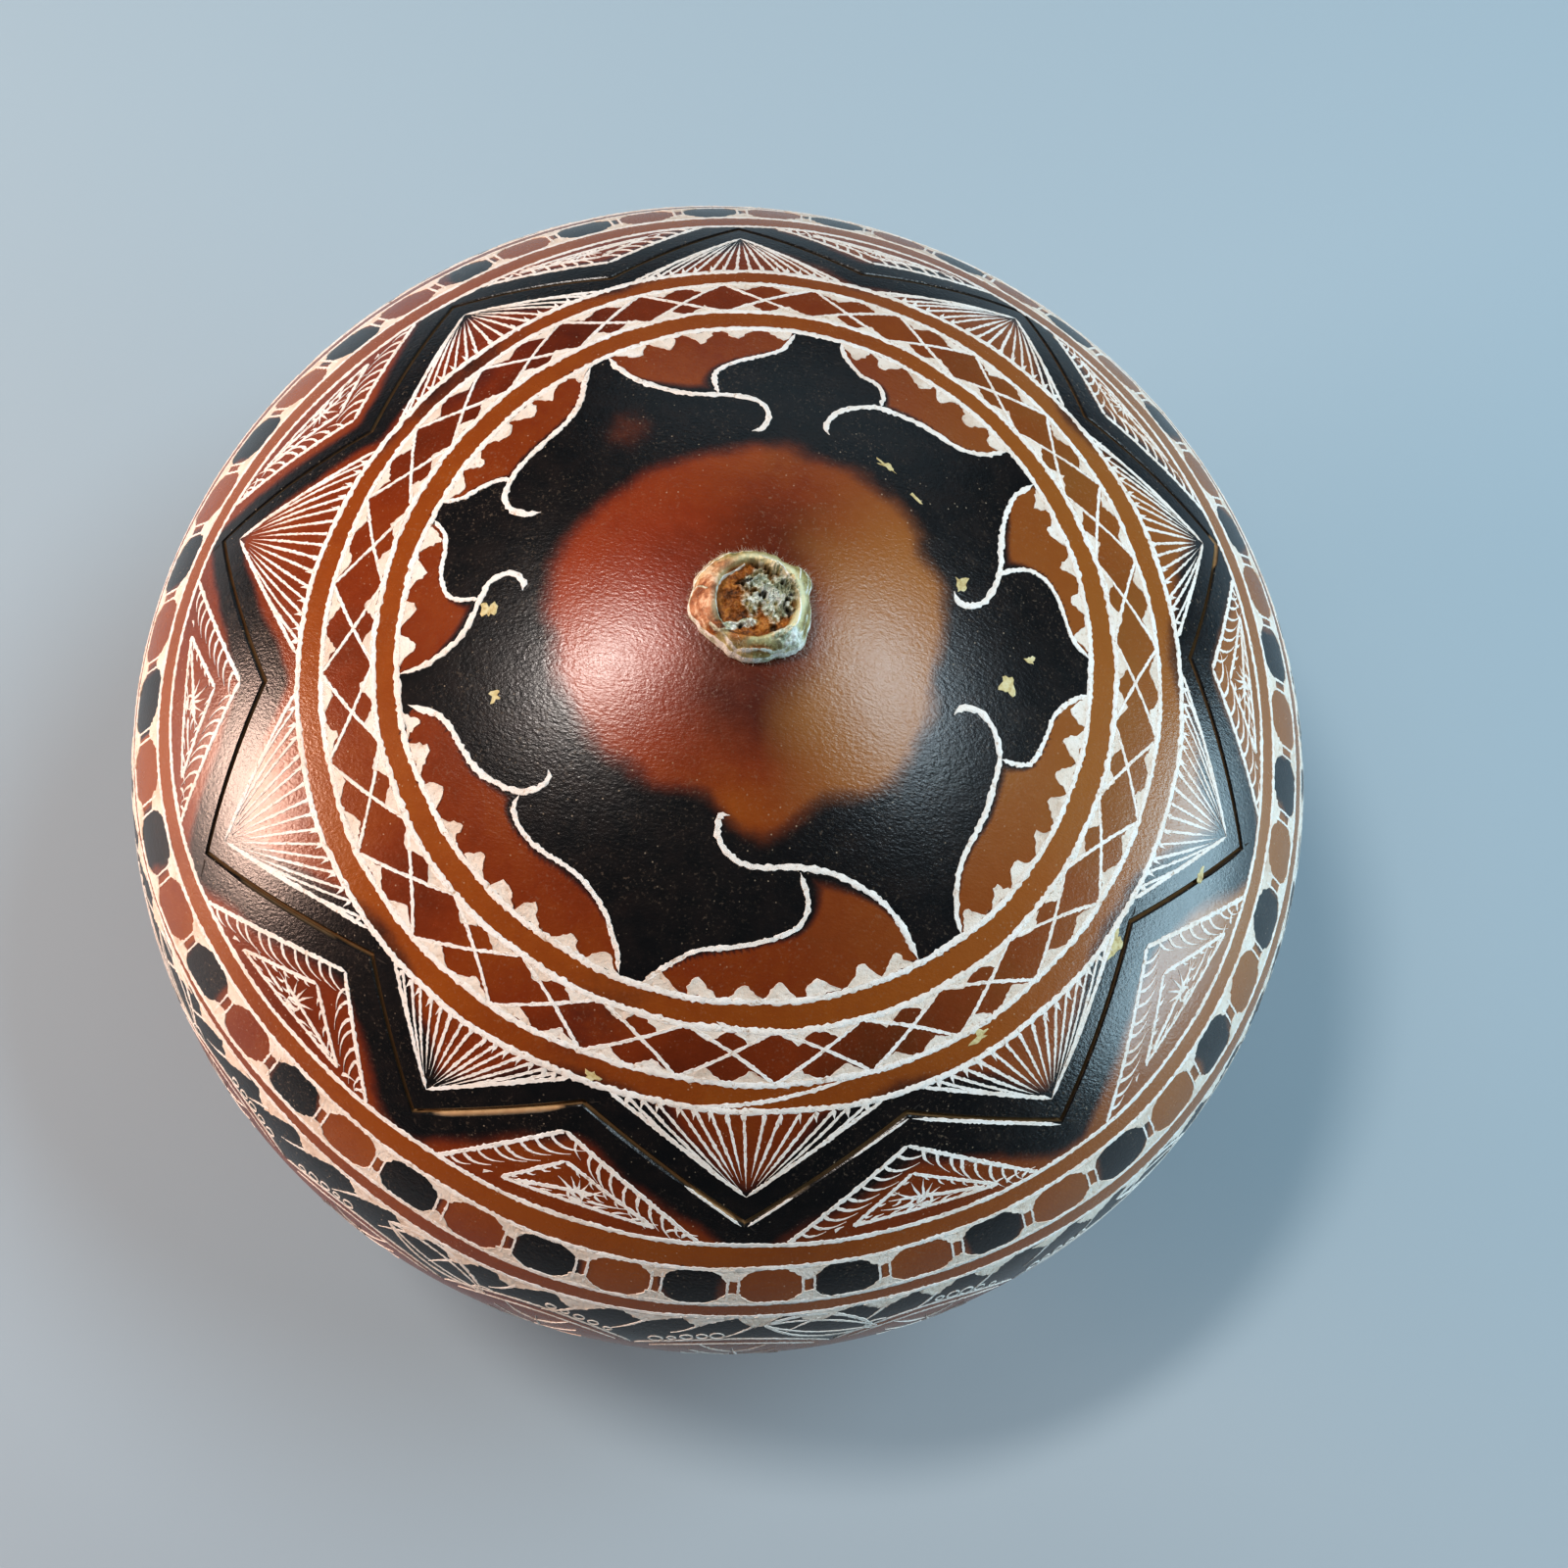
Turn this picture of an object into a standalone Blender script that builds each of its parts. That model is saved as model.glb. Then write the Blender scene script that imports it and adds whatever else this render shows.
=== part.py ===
"""Carved gourd rattle box: a hollow dried gourd whose crown is cut off along a ten-pointed star.

The crown lifts straight up as a lid, with the dried stem stub on top of it, and loose dried
seeds lie on the floor inside. The origin is the centre of the flat base, +Z is up, and the
star's angles are counted counter-clockwise from -Y, seen from above.
"""

import math
import random

import bmesh
import bpy

# Gourd, in metres
GOURD_RADIUS = 0.065
EQUATOR_HEIGHT = 0.049
DOME_RISE = 0.0426  # from the equator to the crown
DOME_OUT_POWER = 1.75  # the dome is (r/R)^1.75 + (z/rise)^(1/0.56) = 1
DOME_UP_POWER = 0.56
LOWER_DEPTH = 0.052  # half axis of the lower ellipse, which the flat base cuts off
WALL = 0.0035
DOME_ROWS = 14
LOWER_ROWS = 10
COLUMNS = 72

# Star cut: (angle in degrees, distance from the axis over GOURD_RADIUS) on the outer surface
STAR_CORNERS = [
    (14.0, 0.806), (33.0, 0.694), (49.5, 0.810), (70.0, 0.680),
    (86.5, 0.813), (106.5, 0.684), (122.5, 0.817), (142.5, 0.696),
    (158.5, 0.820), (178.0, 0.704), (194.0, 0.792), (212.0, 0.680),
    (230.5, 0.781), (251.0, 0.686), (267.5, 0.850), (286.0, 0.716),
    (302.0, 0.847), (323.0, 0.692), (337.5, 0.806), (354.0, 0.684),
]
CUT_APEX_HEIGHT = 0.014  # the knife always pointed here, so the cut is square to the wall
CUT_TOP_HEIGHT = 0.120
CUT_BOTTOM_HEIGHT = 0.030
LID_GAP = 0.0005

# Stem stub
STEM_CENTRE = (-0.0011, 0.0011)
STEM_RADIUS = 0.0058
STEM_HEIGHT = 0.0040
STEM_DISH = 0.0014
STEM_COLUMNS = 32
REST_GAP = 0.0003

# Seeds: rings of (count, radius) on the flat floor
SEED_RINGS = [(1, 0.0), (6, 0.0092), (9, 0.0172)]
SEED_LENGTH = 0.0068
SEED_WIDTH = 0.0052
SEED_THICKNESS = 0.0040
SEED_SEGMENTS = 12
SEED_ROWS = 8

# Colour, roughness and metallic value of each material
FINISHES = {
    "gourd_skin": ((0.36, 0.10, 0.03), 0.35, 0.0),
    "gourd_crown": ((0.42, 0.11, 0.03), 0.30, 0.0),
    "stem_wood": ((0.62, 0.55, 0.30), 0.80, 0.0),
    "seed_coat": ((0.20, 0.08, 0.04), 0.45, 0.0),
}


def clear_scene():
    for thing in list(bpy.data.objects):
        bpy.data.objects.remove(thing, do_unlink=True)


def new_collection(name):
    group = bpy.data.collections.new(name)
    bpy.context.scene.collection.children.link(group)
    return group


def new_material(name):
    colour, roughness, metallic = FINISHES[name]
    material = bpy.data.materials.new(name)
    material.use_nodes = True
    shader = material.node_tree.nodes["Principled BSDF"]
    shader.inputs["Base Color"].default_value = (*colour, 1.0)
    shader.inputs["Roughness"].default_value = roughness
    shader.inputs["Metallic"].default_value = metallic
    return material


def new_object(name, mesh, group, material=None):
    thing = bpy.data.objects.new(name, mesh)
    group.objects.link(thing)
    if material:
        mesh.materials.append(material)
    return thing


def as_cutter(thing):
    thing.hide_render = True
    thing.display_type = "WIRE"
    return thing


def dome_height(radius, shrink=0.0):
    """Height of the dome at a distance from the axis, for the surface shrunk by this much."""
    share = radius / (GOURD_RADIUS - shrink)
    rise = (1 - share**DOME_OUT_POWER) ** DOME_UP_POWER
    return EQUATOR_HEIGHT + (DOME_RISE - shrink) * rise


def gourd_outline(shrink):
    """Points from the crown down to the centre of the base, as (distance from axis, height)."""
    widest = GOURD_RADIUS - shrink
    points = []
    for i in range(DOME_ROWS + 1):
        turn = math.pi / 2 * i / DOME_ROWS
        radius = widest * math.sin(turn) ** (2 / DOME_OUT_POWER)
        rise = math.cos(turn) ** (2 * DOME_UP_POWER) if i < DOME_ROWS else 0.0
        points.append((radius, EQUATOR_HEIGHT + (DOME_RISE - shrink) * rise))
    depth = LOWER_DEPTH - shrink
    last_turn = math.asin((EQUATOR_HEIGHT - shrink) / depth)
    for i in range(1, LOWER_ROWS + 1):
        turn = last_turn * i / LOWER_ROWS
        points.append((widest * math.cos(turn), EQUATOR_HEIGHT - depth * math.sin(turn)))
    points.append((0.0, shrink))
    return points


def turned(name, outline, columns, group, material=None):
    """A solid turned about Z from an outline that runs down its outer side."""
    mesh = bpy.data.meshes.new(name)
    points = [(radius, 0.0, height) for radius, height in outline]
    mesh.from_pydata(points, [(i, i + 1) for i in range(len(points) - 1)], [])
    thing = new_object(name, mesh, group, material)
    screw = thing.modifiers.new("turn", "SCREW")
    screw.steps = columns
    screw.render_steps = columns
    screw.use_merge_vertices = True
    screw.merge_threshold = 0.00001
    screw.use_smooth_shade = True
    return thing


def star_wedge(name, growth, group):
    """A star-shaped wedge that narrows towards the knife's apex on the axis."""
    lower, upper = [], []
    for angle, share in STAR_CORNERS:
        radius = share * GOURD_RADIUS
        rise = dome_height(radius) - CUT_APEX_HEIGHT
        for height, ring in ((CUT_BOTTOM_HEIGHT, lower), (CUT_TOP_HEIGHT, upper)):
            reach = radius * growth * (height - CUT_APEX_HEIGHT) / rise
            turn = math.radians(angle)
            ring.append((reach * math.sin(turn), -reach * math.cos(turn), height))
    shape = bmesh.new()
    low = [shape.verts.new(point) for point in lower]
    high = [shape.verts.new(point) for point in upper]
    shape.faces.new(low[::-1])
    shape.faces.new(high)
    for i in range(len(low)):
        j = (i + 1) % len(low)
        shape.faces.new((low[i], low[j], high[j], high[i]))
    bmesh.ops.recalc_face_normals(shape, faces=shape.faces)
    mesh = bpy.data.meshes.new(name)
    shape.to_mesh(mesh)
    shape.free()
    return as_cutter(new_object(name, mesh, group))


def cut(thing, cutter, operation):
    boolean = thing.modifiers.new(cutter.name, "BOOLEAN")
    boolean.object = cutter
    boolean.operation = operation
    boolean.solver = "EXACT"


def make_shell(name, wedge, operation, hollow, group, material):
    shell = turned(name, gourd_outline(0.0), COLUMNS, group, material)
    cut(shell, hollow, "DIFFERENCE")
    cut(shell, wedge, operation)
    return shell


def make_stem(group, material):
    """A short stub with a flared foot that follows the dome, and a dished top."""
    crown = dome_height(0.0) + REST_GAP
    foot = dome_height(STEM_RADIUS) + REST_GAP
    outline = [
        (0.0, crown + STEM_HEIGHT - STEM_DISH),
        (0.45 * STEM_RADIUS, crown + STEM_HEIGHT - 0.7 * STEM_DISH),
        (0.72 * STEM_RADIUS, crown + STEM_HEIGHT),
        (0.88 * STEM_RADIUS, crown + 0.94 * STEM_HEIGHT),
        (0.96 * STEM_RADIUS, crown + 0.70 * STEM_HEIGHT),
        (0.90 * STEM_RADIUS, crown + 0.40 * STEM_HEIGHT),
        (STEM_RADIUS, foot),
        (0.5 * STEM_RADIUS, dome_height(0.5 * STEM_RADIUS) + REST_GAP),
        (0.0, crown),
    ]
    stem = turned("stem_stub", outline, STEM_COLUMNS, group, material)
    stem.location = (*STEM_CENTRE, 0.0)
    return stem


def make_seeds(group, material):
    """Flattened seeds lying on the floor, each in a column of its own."""
    shape = bmesh.new()
    bmesh.ops.create_uvsphere(shape, u_segments=SEED_SEGMENTS, v_segments=SEED_ROWS, radius=0.5)
    for vert in shape.verts:
        vert.co.x *= SEED_LENGTH
        vert.co.y *= SEED_WIDTH * (1 + 0.25 * vert.co.x / SEED_LENGTH)
        vert.co.z *= SEED_THICKNESS
    mesh = bpy.data.meshes.new("seed")
    shape.to_mesh(mesh)
    shape.free()
    mesh.shade_smooth()
    mesh.materials.append(material)
    chance = random.Random(7)
    number = 0
    for count, radius in SEED_RINGS:
        for i in range(count):
            number += 1
            turn = 2 * math.pi * (i + 0.2 * chance.random()) / count
            seed = new_object(f"seed_{number:02d}", mesh, group)
            floor = WALL + REST_GAP + SEED_THICKNESS / 2
            seed.location = (radius * math.cos(turn), radius * math.sin(turn), floor)
            seed.rotation_euler = (0.0, 0.0, chance.uniform(0, math.pi))


def main():
    clear_scene()
    parts = new_collection("carved_gourd")
    cutters = new_collection("cutters")
    hollow = as_cutter(turned("hollow", gourd_outline(WALL), COLUMNS, cutters))
    half_gap = LID_GAP / 2 / (0.62 * GOURD_RADIUS)  # the star's sides pass about 0.62 R from the axis
    lid_wedge = star_wedge("lid_wedge", 1 - half_gap, cutters)
    bowl_wedge = star_wedge("bowl_wedge", 1 + half_gap, cutters)
    make_shell("gourd_bowl", bowl_wedge, "DIFFERENCE", hollow, parts, new_material("gourd_skin"))
    make_shell("gourd_lid", lid_wedge, "INTERSECT", hollow, parts, new_material("gourd_crown"))
    make_stem(parts, new_material("stem_wood"))
    make_seeds(parts, new_material("seed_coat"))


main()
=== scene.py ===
import math

import bpy
import numpy as np
from mathutils import Matrix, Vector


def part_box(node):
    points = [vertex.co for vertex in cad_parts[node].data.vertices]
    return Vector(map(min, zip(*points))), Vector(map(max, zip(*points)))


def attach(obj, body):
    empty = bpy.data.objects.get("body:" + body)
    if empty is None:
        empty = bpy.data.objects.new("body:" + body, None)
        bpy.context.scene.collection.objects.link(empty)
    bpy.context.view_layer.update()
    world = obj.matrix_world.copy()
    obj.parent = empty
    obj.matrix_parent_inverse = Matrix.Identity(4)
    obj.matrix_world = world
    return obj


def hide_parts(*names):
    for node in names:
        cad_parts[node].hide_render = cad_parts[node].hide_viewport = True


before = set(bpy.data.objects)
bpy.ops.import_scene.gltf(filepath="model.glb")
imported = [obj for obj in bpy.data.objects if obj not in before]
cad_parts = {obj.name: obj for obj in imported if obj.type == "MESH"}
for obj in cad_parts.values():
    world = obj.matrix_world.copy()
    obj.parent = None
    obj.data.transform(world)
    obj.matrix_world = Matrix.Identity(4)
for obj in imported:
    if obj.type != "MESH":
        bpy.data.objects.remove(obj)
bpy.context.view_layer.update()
lowCorner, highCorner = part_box("gourd_bowl")

# The gourd's form. A place on its skin is a turn in degrees (0 faces -Y, 90 faces +X)
# and an arc: the way along the skin from the crown's middle, as a share of the radius.
gourd = {
    "radius": (highCorner[0] - lowCorner[0]) / 2,
    "equator": 0.049,
    "domeRise": 0.0426,
    "domeOutPower": 1.75,
    "domeUpPower": 0.56,
    "lowerDepth": 0.052,
    "wall": 0.0035,
    "cutApex": 0.014,
    "skinDrop": 0.0001,    # the skin lies this far inside, so that raised fibres keep to the size
    "domePoints": 1200,    # points along the outline: the dome, the lower half and the flat base
    "lowerPoints": 1200,
    "basePoints": 80,
}
mm = 0.001
domeOnly = slice(0, gourd["domePoints"])


def smoothStep(x, low, high):
    # 0 below low, 1 above high, and an S between them
    t = np.clip((np.asarray(x, float) - low) / (high - low), 0, 1)
    return t * t * (3 - 2 * t)


def turnedOutline(shrink):
    # above the equator r = R sin(t)^(2/outPower) and z = rise cos(t)^(2 upPower);
    # below it a quarter ellipse, cut off by the flat base
    widest = gourd["radius"] - shrink
    t = np.linspace(0, math.pi / 2, gourd["domePoints"])
    r = widest * np.sin(t) ** (2 / gourd["domeOutPower"])
    rise = np.maximum(np.cos(t), 0) ** (2 * gourd["domeUpPower"])
    z = gourd["equator"] + (gourd["domeRise"] - shrink) * rise
    depth = gourd["lowerDepth"] - shrink
    e = np.linspace(0, math.asin((gourd["equator"] - shrink) / depth), gourd["lowerPoints"])[1:]
    flat = np.linspace(1, 0, gourd["basePoints"])[1:]
    r = np.concatenate([r, widest * np.cos(e), widest * math.cos(e[-1]) * flat])
    z = np.concatenate([z, gourd["equator"] - depth * np.sin(e), np.full(len(flat), shrink)])
    arc = np.concatenate([[0], np.cumsum(np.hypot(np.diff(r), np.diff(z)))]) / gourd["radius"]
    outR, outZ = -np.gradient(z, arc), np.gradient(r, arc)
    size = np.hypot(outR, outZ)
    return {"arc": arc, "r": r, "z": z, "outR": outR / size, "outZ": outZ / size}


outerSkin = turnedOutline(gourd["skinDrop"])
innerSkin = turnedOutline(gourd["wall"])
baseEdgeArc = outerSkin["arc"][-gourd["basePoints"]]


def onSkin(turn, arc, lift=0.0, skin=outerSkin):
    # the point at that turn and arc, lifted along the skin's outward direction
    turn = np.radians(turn)
    r = np.interp(arc, skin["arc"], skin["r"]) + lift * np.interp(arc, skin["arc"], skin["outR"])
    z = np.interp(arc, skin["arc"], skin["z"]) + lift * np.interp(arc, skin["arc"], skin["outZ"])
    return np.stack([r * np.sin(turn), -r * np.cos(turn), z + 0 * turn], -1)


def outward(turn, arc):
    turn = np.radians(turn)
    outR = np.interp(arc, outerSkin["arc"], outerSkin["outR"])
    outZ = np.interp(arc, outerSkin["arc"], outerSkin["outZ"])
    return np.stack([outR * np.sin(turn), -outR * np.cos(turn), outZ], -1)


def onChart(turn, arc):
    # the skin laid flat round the crown: the arc is the distance from the middle
    turn = np.radians(turn)
    return np.stack([arc * np.sin(turn), -arc * np.cos(turn)], -1)


def offChart(points):
    return np.degrees(np.arctan2(points[:, 0], -points[:, 1])), np.hypot(points[:, 0], points[:, 1])


def aroundGourd(values, turn):
    # one smooth wave through values that are evenly spaced round the gourd
    waves = np.fft.rfft(values) / len(values)
    turn = np.radians(np.asarray(turn, float))
    total = np.full(turn.shape, waves[0].real)
    for k in range(1, len(waves)):
        share = 1 if 2 * k == len(values) else 2
        total = total + share * (waves[k].real * np.cos(k * turn) - waves[k].imag * np.sin(k * turn))
    return total


def cloud(points, size, seed):
    # soft noise of about -1 to 1: twenty-four seeded plane waves added up
    chance = np.random.default_rng(seed)
    ways = chance.normal(size=(24, 3)) * (2 * math.pi / size) * 0.45
    phases = chance.uniform(0, 2 * math.pi, 24)
    return np.sin(points @ ways.T + phases).sum(1) / 5.0


def throughPoints(points, steps=8):
    # a smooth curve through the points (Catmull-Rom)
    p = np.asarray(points, float)
    p = np.vstack([2 * p[0] - p[1], p, 2 * p[-1] - p[-2]])
    t = np.linspace(0, 1, steps, endpoint=False)[:, None]
    pieces = [
        0.5 * (2 * p[i] + (p[i + 1] - p[i - 1]) * t
               + (2 * p[i - 1] - 5 * p[i] + 4 * p[i + 1] - p[i + 2]) * t**2
               + (3 * p[i] - p[i - 1] - 3 * p[i + 1] + p[i + 2]) * t**3)
        for i in range(1, len(p) - 2)
    ]
    return np.vstack([*pieces, p[-2:-1]])


def spaced(points, step):
    # the same line with its points evenly spaced
    length = np.concatenate([[0], np.cumsum(np.linalg.norm(np.diff(points, axis=0), axis=1))])
    count = max(4, int(length[-1] / step) + 1)
    along = np.linspace(0, length[-1], count)
    return np.stack([np.interp(along, length, points[:, i]) for i in range(points.shape[1])], 1)


def toOutline(points, outline, closed=True):
    # distance from each point to a line of straight stretches, and whether it lies inside
    ends = np.roll(outline, -1, axis=0) if closed else outline[1:]
    starts = outline if closed else outline[:-1]
    nearest = np.full(len(points), np.inf)
    inside = np.zeros(len(points), bool)
    for a, b in zip(starts, ends):
        way = b - a
        along = np.clip(((points - a) @ way) / max(way @ way, 1e-12), 0, 1)
        nearest = np.minimum(nearest, np.linalg.norm(points - a - along[:, None] * way, axis=1))
        if closed:
            crosses = (a[1] > points[:, 1]) != (b[1] > points[:, 1])
            drop = b[1] - a[1] if b[1] != a[1] else 1e-12
            inside ^= crosses & (points[:, 0] < a[0] + (points[:, 1] - a[1]) * way[0] / drop)
    return nearest, inside


# -- meshes

def newPiece(name, points, faces, material, body, marks=None, sharp=None):
    mesh = bpy.data.meshes.new(name)
    mesh.from_pydata(points.tolist(), [], faces)
    mesh.materials.append(material)
    mesh.shade_smooth()
    if sharp:
        mesh.set_sharp_from_angle(angle=math.radians(sharp))
    for mark, values in (marks or {}).items():
        layer = mesh.attributes.new(mark, "FLOAT", "POINT")
        layer.data.foreach_set("value", np.asarray(values, np.float32))
    mesh.validate()
    piece = bpy.data.objects.new(name, mesh)
    bpy.context.scene.collection.objects.link(piece)
    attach(piece, body)
    return piece


def turnedFaces(rows, columns):
    # a skin of rows round the axis between a top point and a bottom point, facing out
    i = np.arange(rows - 1)[:, None] * columns
    j = np.arange(columns)[None, :]
    k = (j + 1) % columns
    quads = np.stack([i + j, i + columns + j, i + columns + k, i + k], -1).reshape(-1, 4) + 1
    j, k = j[0], k[0]
    last = (rows - 1) * columns
    top = np.stack([np.zeros(columns, int), j + 1, k + 1], -1)
    bottom = np.stack([np.full(columns, rows * columns + 1), last + k + 1, last + j + 1], -1)
    return top.tolist() + quads.tolist() + bottom.tolist()


# -- shader maths

class Wire:
    # wraps a socket, so that sums of values are written as sums
    def __init__(self, tree, socket):
        self.tree, self.socket = tree, socket

    def math(self, operation, *others, flip=False):
        values = [*others, self] if flip else [self, *others]
        return self.node("ShaderNodeMath", {"operation": operation}, dict(enumerate(values)))

    def node(self, kind, settings=None, sockets=None, out=0):
        made = self.tree.nodes.new(kind)
        for key, value in (settings or {}).items():
            if key == "stops":
                ramp = made.color_ramp
                while len(ramp.elements) < len(value):
                    ramp.elements.new(0.5)
                for element, (place, colour) in zip(ramp.elements, value):
                    element.position = place
                    element.color = (*colour, 1.0)
            else:
                setattr(made, key, value)
        for key, value in (sockets or {}).items():
            if isinstance(value, Wire):
                self.tree.links.new(value.socket, made.inputs[key])
            else:
                made.inputs[key].default_value = value
        return Wire(self.tree, made.outputs[out])

    def __add__(self, other):
        return self.math("ADD", other)

    def __radd__(self, other):
        return self.math("ADD", other)

    def __sub__(self, other):
        return self.math("SUBTRACT", other)

    def __rsub__(self, other):
        return self.math("SUBTRACT", other, flip=True)

    def __mul__(self, other):
        return self.math("MULTIPLY", other)

    def __rmul__(self, other):
        return self.math("MULTIPLY", other)

    def step(self, low, high):
        sockets = {"Value": self, "From Min": low, "From Max": high}
        return self.node("ShaderNodeMapRange", {"interpolation_type": "SMOOTHSTEP"}, sockets)

    def ramp(self, *stops):
        return self.node("ShaderNodeValToRGB", {"stops": stops}, {"Fac": self})

    def noise(self, scale, detail=3.0, rough=0.5):
        sockets = {"Vector": self, "Scale": scale, "Detail": detail, "Roughness": rough}
        return self.node("ShaderNodeTexNoise", None, sockets)

    def cells(self, scale):
        return self.node("ShaderNodeTexVoronoi", {"feature": "F1"}, {"Vector": self, "Scale": scale})

    def stretched(self, x, y, z):
        settings = {"operation": "MULTIPLY"}
        return self.node("ShaderNodeVectorMath", settings, {0: self, 1: (x, y, z)})

    def mixed(self, first, second):
        # first where this mask is 0, second where it is 1
        settings = {"data_type": "RGBA", "blend_type": "MIX"}
        first = first if isinstance(first, Wire) else (*first, 1.0)
        second = second if isinstance(second, Wire) else (*second, 1.0)
        return self.node("ShaderNodeMix", settings, {0: self, 6: first, 7: second}, out=2)


def newMaterial(name, build, **fixed):
    material = bpy.data.materials.new(name)
    material.use_nodes = True
    tree = material.node_tree
    shader = tree.nodes["Principled BSDF"]
    for key, value in fixed.items():
        shader.inputs[key.replace("_", " ")].default_value = value
    place = Wire(tree, tree.nodes.new("ShaderNodeTexCoord").outputs["Object"])

    def mark(attribute):
        found = tree.nodes.new("ShaderNodeAttribute")
        found.attribute_name = attribute
        return Wire(tree, found.outputs["Fac"])

    for key, value in build(place, mark).items():
        if key == "Height":
            strength, distance, height = value
            sockets = {"Strength": strength, "Distance": distance, "Height": height}
            value, key = place.node("ShaderNodeBump", None, sockets), "Normal"
        tree.links.new(value.socket, shader.inputs[key])
    return material


skinColours = {
    "deep": (0.085, 0.014, 0.004),
    "brown": (0.200, 0.036, 0.006),
    "orange": (0.290, 0.078, 0.009),
    "red": (0.330, 0.036, 0.010),
    "gold": (0.350, 0.150, 0.034),
    "scorch": (0.060, 0.012, 0.014),
    "char": (0.0055, 0.0055, 0.0060),
    "flesh": (0.66, 0.47, 0.24),
    "pith": (0.42, 0.27, 0.13),
}


def polishedSkin(place, mark):
    c = skinColours
    mottle = place.noise(95, 5.0, 0.6)
    streak = place.stretched(1, 1, 0.35).noise(700, 3.0, 0.7)
    tone = mark("tone") + (mottle - 0.5) * 0.75 + (streak - 0.5) * 0.30
    skin = tone.ramp((0.0, c["deep"]), (0.5, c["brown"]), (1.0, c["orange"]))
    # redder and more golden sides: partly the skin's own tint, partly painted lamp colour
    blush = mark("blush") + (mottle - 0.5) * 0.5
    skin = (blush.step(0.1, 1.0) * 0.8).mixed(skin, c["red"])
    skin = ((0 - blush).step(0.1, 1.0) * 0.8).mixed(skin, c["gold"])
    burn = mark("burn")
    haze = place.noise(330, 5.0, 0.7) + 0.6 * place.noise(90, 3.0, 0.6)
    edge = burn + (haze - 0.8) * 0.75 * burn * (1 - burn) * 4
    soot = edge.step(0.10, 0.90)
    charred = place.noise(480, 3.0, 0.6).step(0.3, 0.8).mixed(c["char"], (0.014, 0.010, 0.009))
    skin = (edge.step(0.02, 0.45) * 0.45).mixed(skin, c["scorch"])
    colour = soot.mixed(skin, charred)
    # fine pale flecks where the skin is rubbed through
    dust = place.noise(3100, 2.0, 0.6).step(0.56, 0.74) * place.noise(170, 3.0, 0.6).step(0.34, 0.66)
    colour = (dust * (0.20 + 0.16 * mark("rub"))).mixed(colour, (0.36, 0.27, 0.19))
    fleck = place.cells(1100).step(0.12, 0.05) * place.noise(90, 3.0, 0.6).step(0.42, 0.60)
    colour = (fleck * 0.5).mixed(colour, (0.62, 0.50, 0.36))
    fibre = place.stretched(1, 1, 0.5).noise(900, 4.0, 0.7)
    flesh = fibre.mixed((0.33, 0.18, 0.07), c["flesh"])
    colour = mark("flesh").mixed(colour, flesh)
    pith = place.noise(60, 5.0, 0.7).mixed((0.24, 0.13, 0.055), c["pith"])
    inside = mark("inside")
    colour = inside.mixed(colour, pith)
    # the polish is uneven, and there is none inside or on the cut
    rough = 0.17 + 0.10 * place.noise(120, 4.0, 0.6) + 0.08 * streak + 0.42 * inside + 0.35 * mark("flesh")
    grain = place.stretched(1, 1.6, 1).noise(2300, 2.0, 0.6) + 0.40 * place.noise(600, 2.0, 0.5)
    grain = grain + inside * place.noise(260, 4.0, 0.7) * 2.2 + mark("flesh") * fibre
    return {"Base Color": colour, "Roughness": rough, "Height": (0.8, 0.000045, grain)}


def limedCut(place, mark):
    # cream lime rubbed into a torn, fibrous groove
    fibre = place.noise(1900, 4.0, 0.75)
    patch = place.noise(170, 3.0, 0.6)
    cream = patch.ramp((0.25, (0.80, 0.70, 0.61)), (0.5, (0.88, 0.83, 0.77)), (0.75, (0.90, 0.89, 0.87)))
    colour = fibre.step(0.26, 0.46).mixed((0.46, 0.31, 0.20), cream)
    return {"Base Color": colour, "Roughness": 0.72 + 0.2 * fibre, "Height": (0.8, 0.00016, fibre)}


def limedGouge(place, mark):
    fibre = place.noise(1300, 4.0, 0.72)
    patch = place.noise(240, 4.0, 0.6)
    cream = patch.ramp((0.2, (0.62, 0.46, 0.35)), (0.5, (0.80, 0.70, 0.60)), (0.8, (0.88, 0.84, 0.79)))
    colour = fibre.step(0.22, 0.46).mixed((0.48, 0.33, 0.22), cream)
    return {"Base Color": colour, "Roughness": 0.75 + 0.2 * fibre, "Height": (0.9, 0.00022, fibre)}


def paleChip(place, mark):
    fibre = place.noise(1500, 4.0, 0.7)
    colour = fibre.ramp((0.3, (0.36, 0.24, 0.08)), (0.5, (0.62, 0.52, 0.26)), (0.7, (0.72, 0.66, 0.42)))
    return {"Base Color": colour, "Roughness": 0.6 + 0.2 * fibre, "Height": (0.6, 0.00012, fibre)}


def knifeSlitShade(place, mark):
    # near black: painted shade inside the thin slits the knife left past the star's corners
    fibre = place.noise(900, 3.0, 0.6)
    colour = fibre.mixed((0.006, 0.005, 0.004), (0.030, 0.018, 0.010))
    return {"Base Color": colour, "Roughness": 0.7 + 0.2 * fibre}


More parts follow.
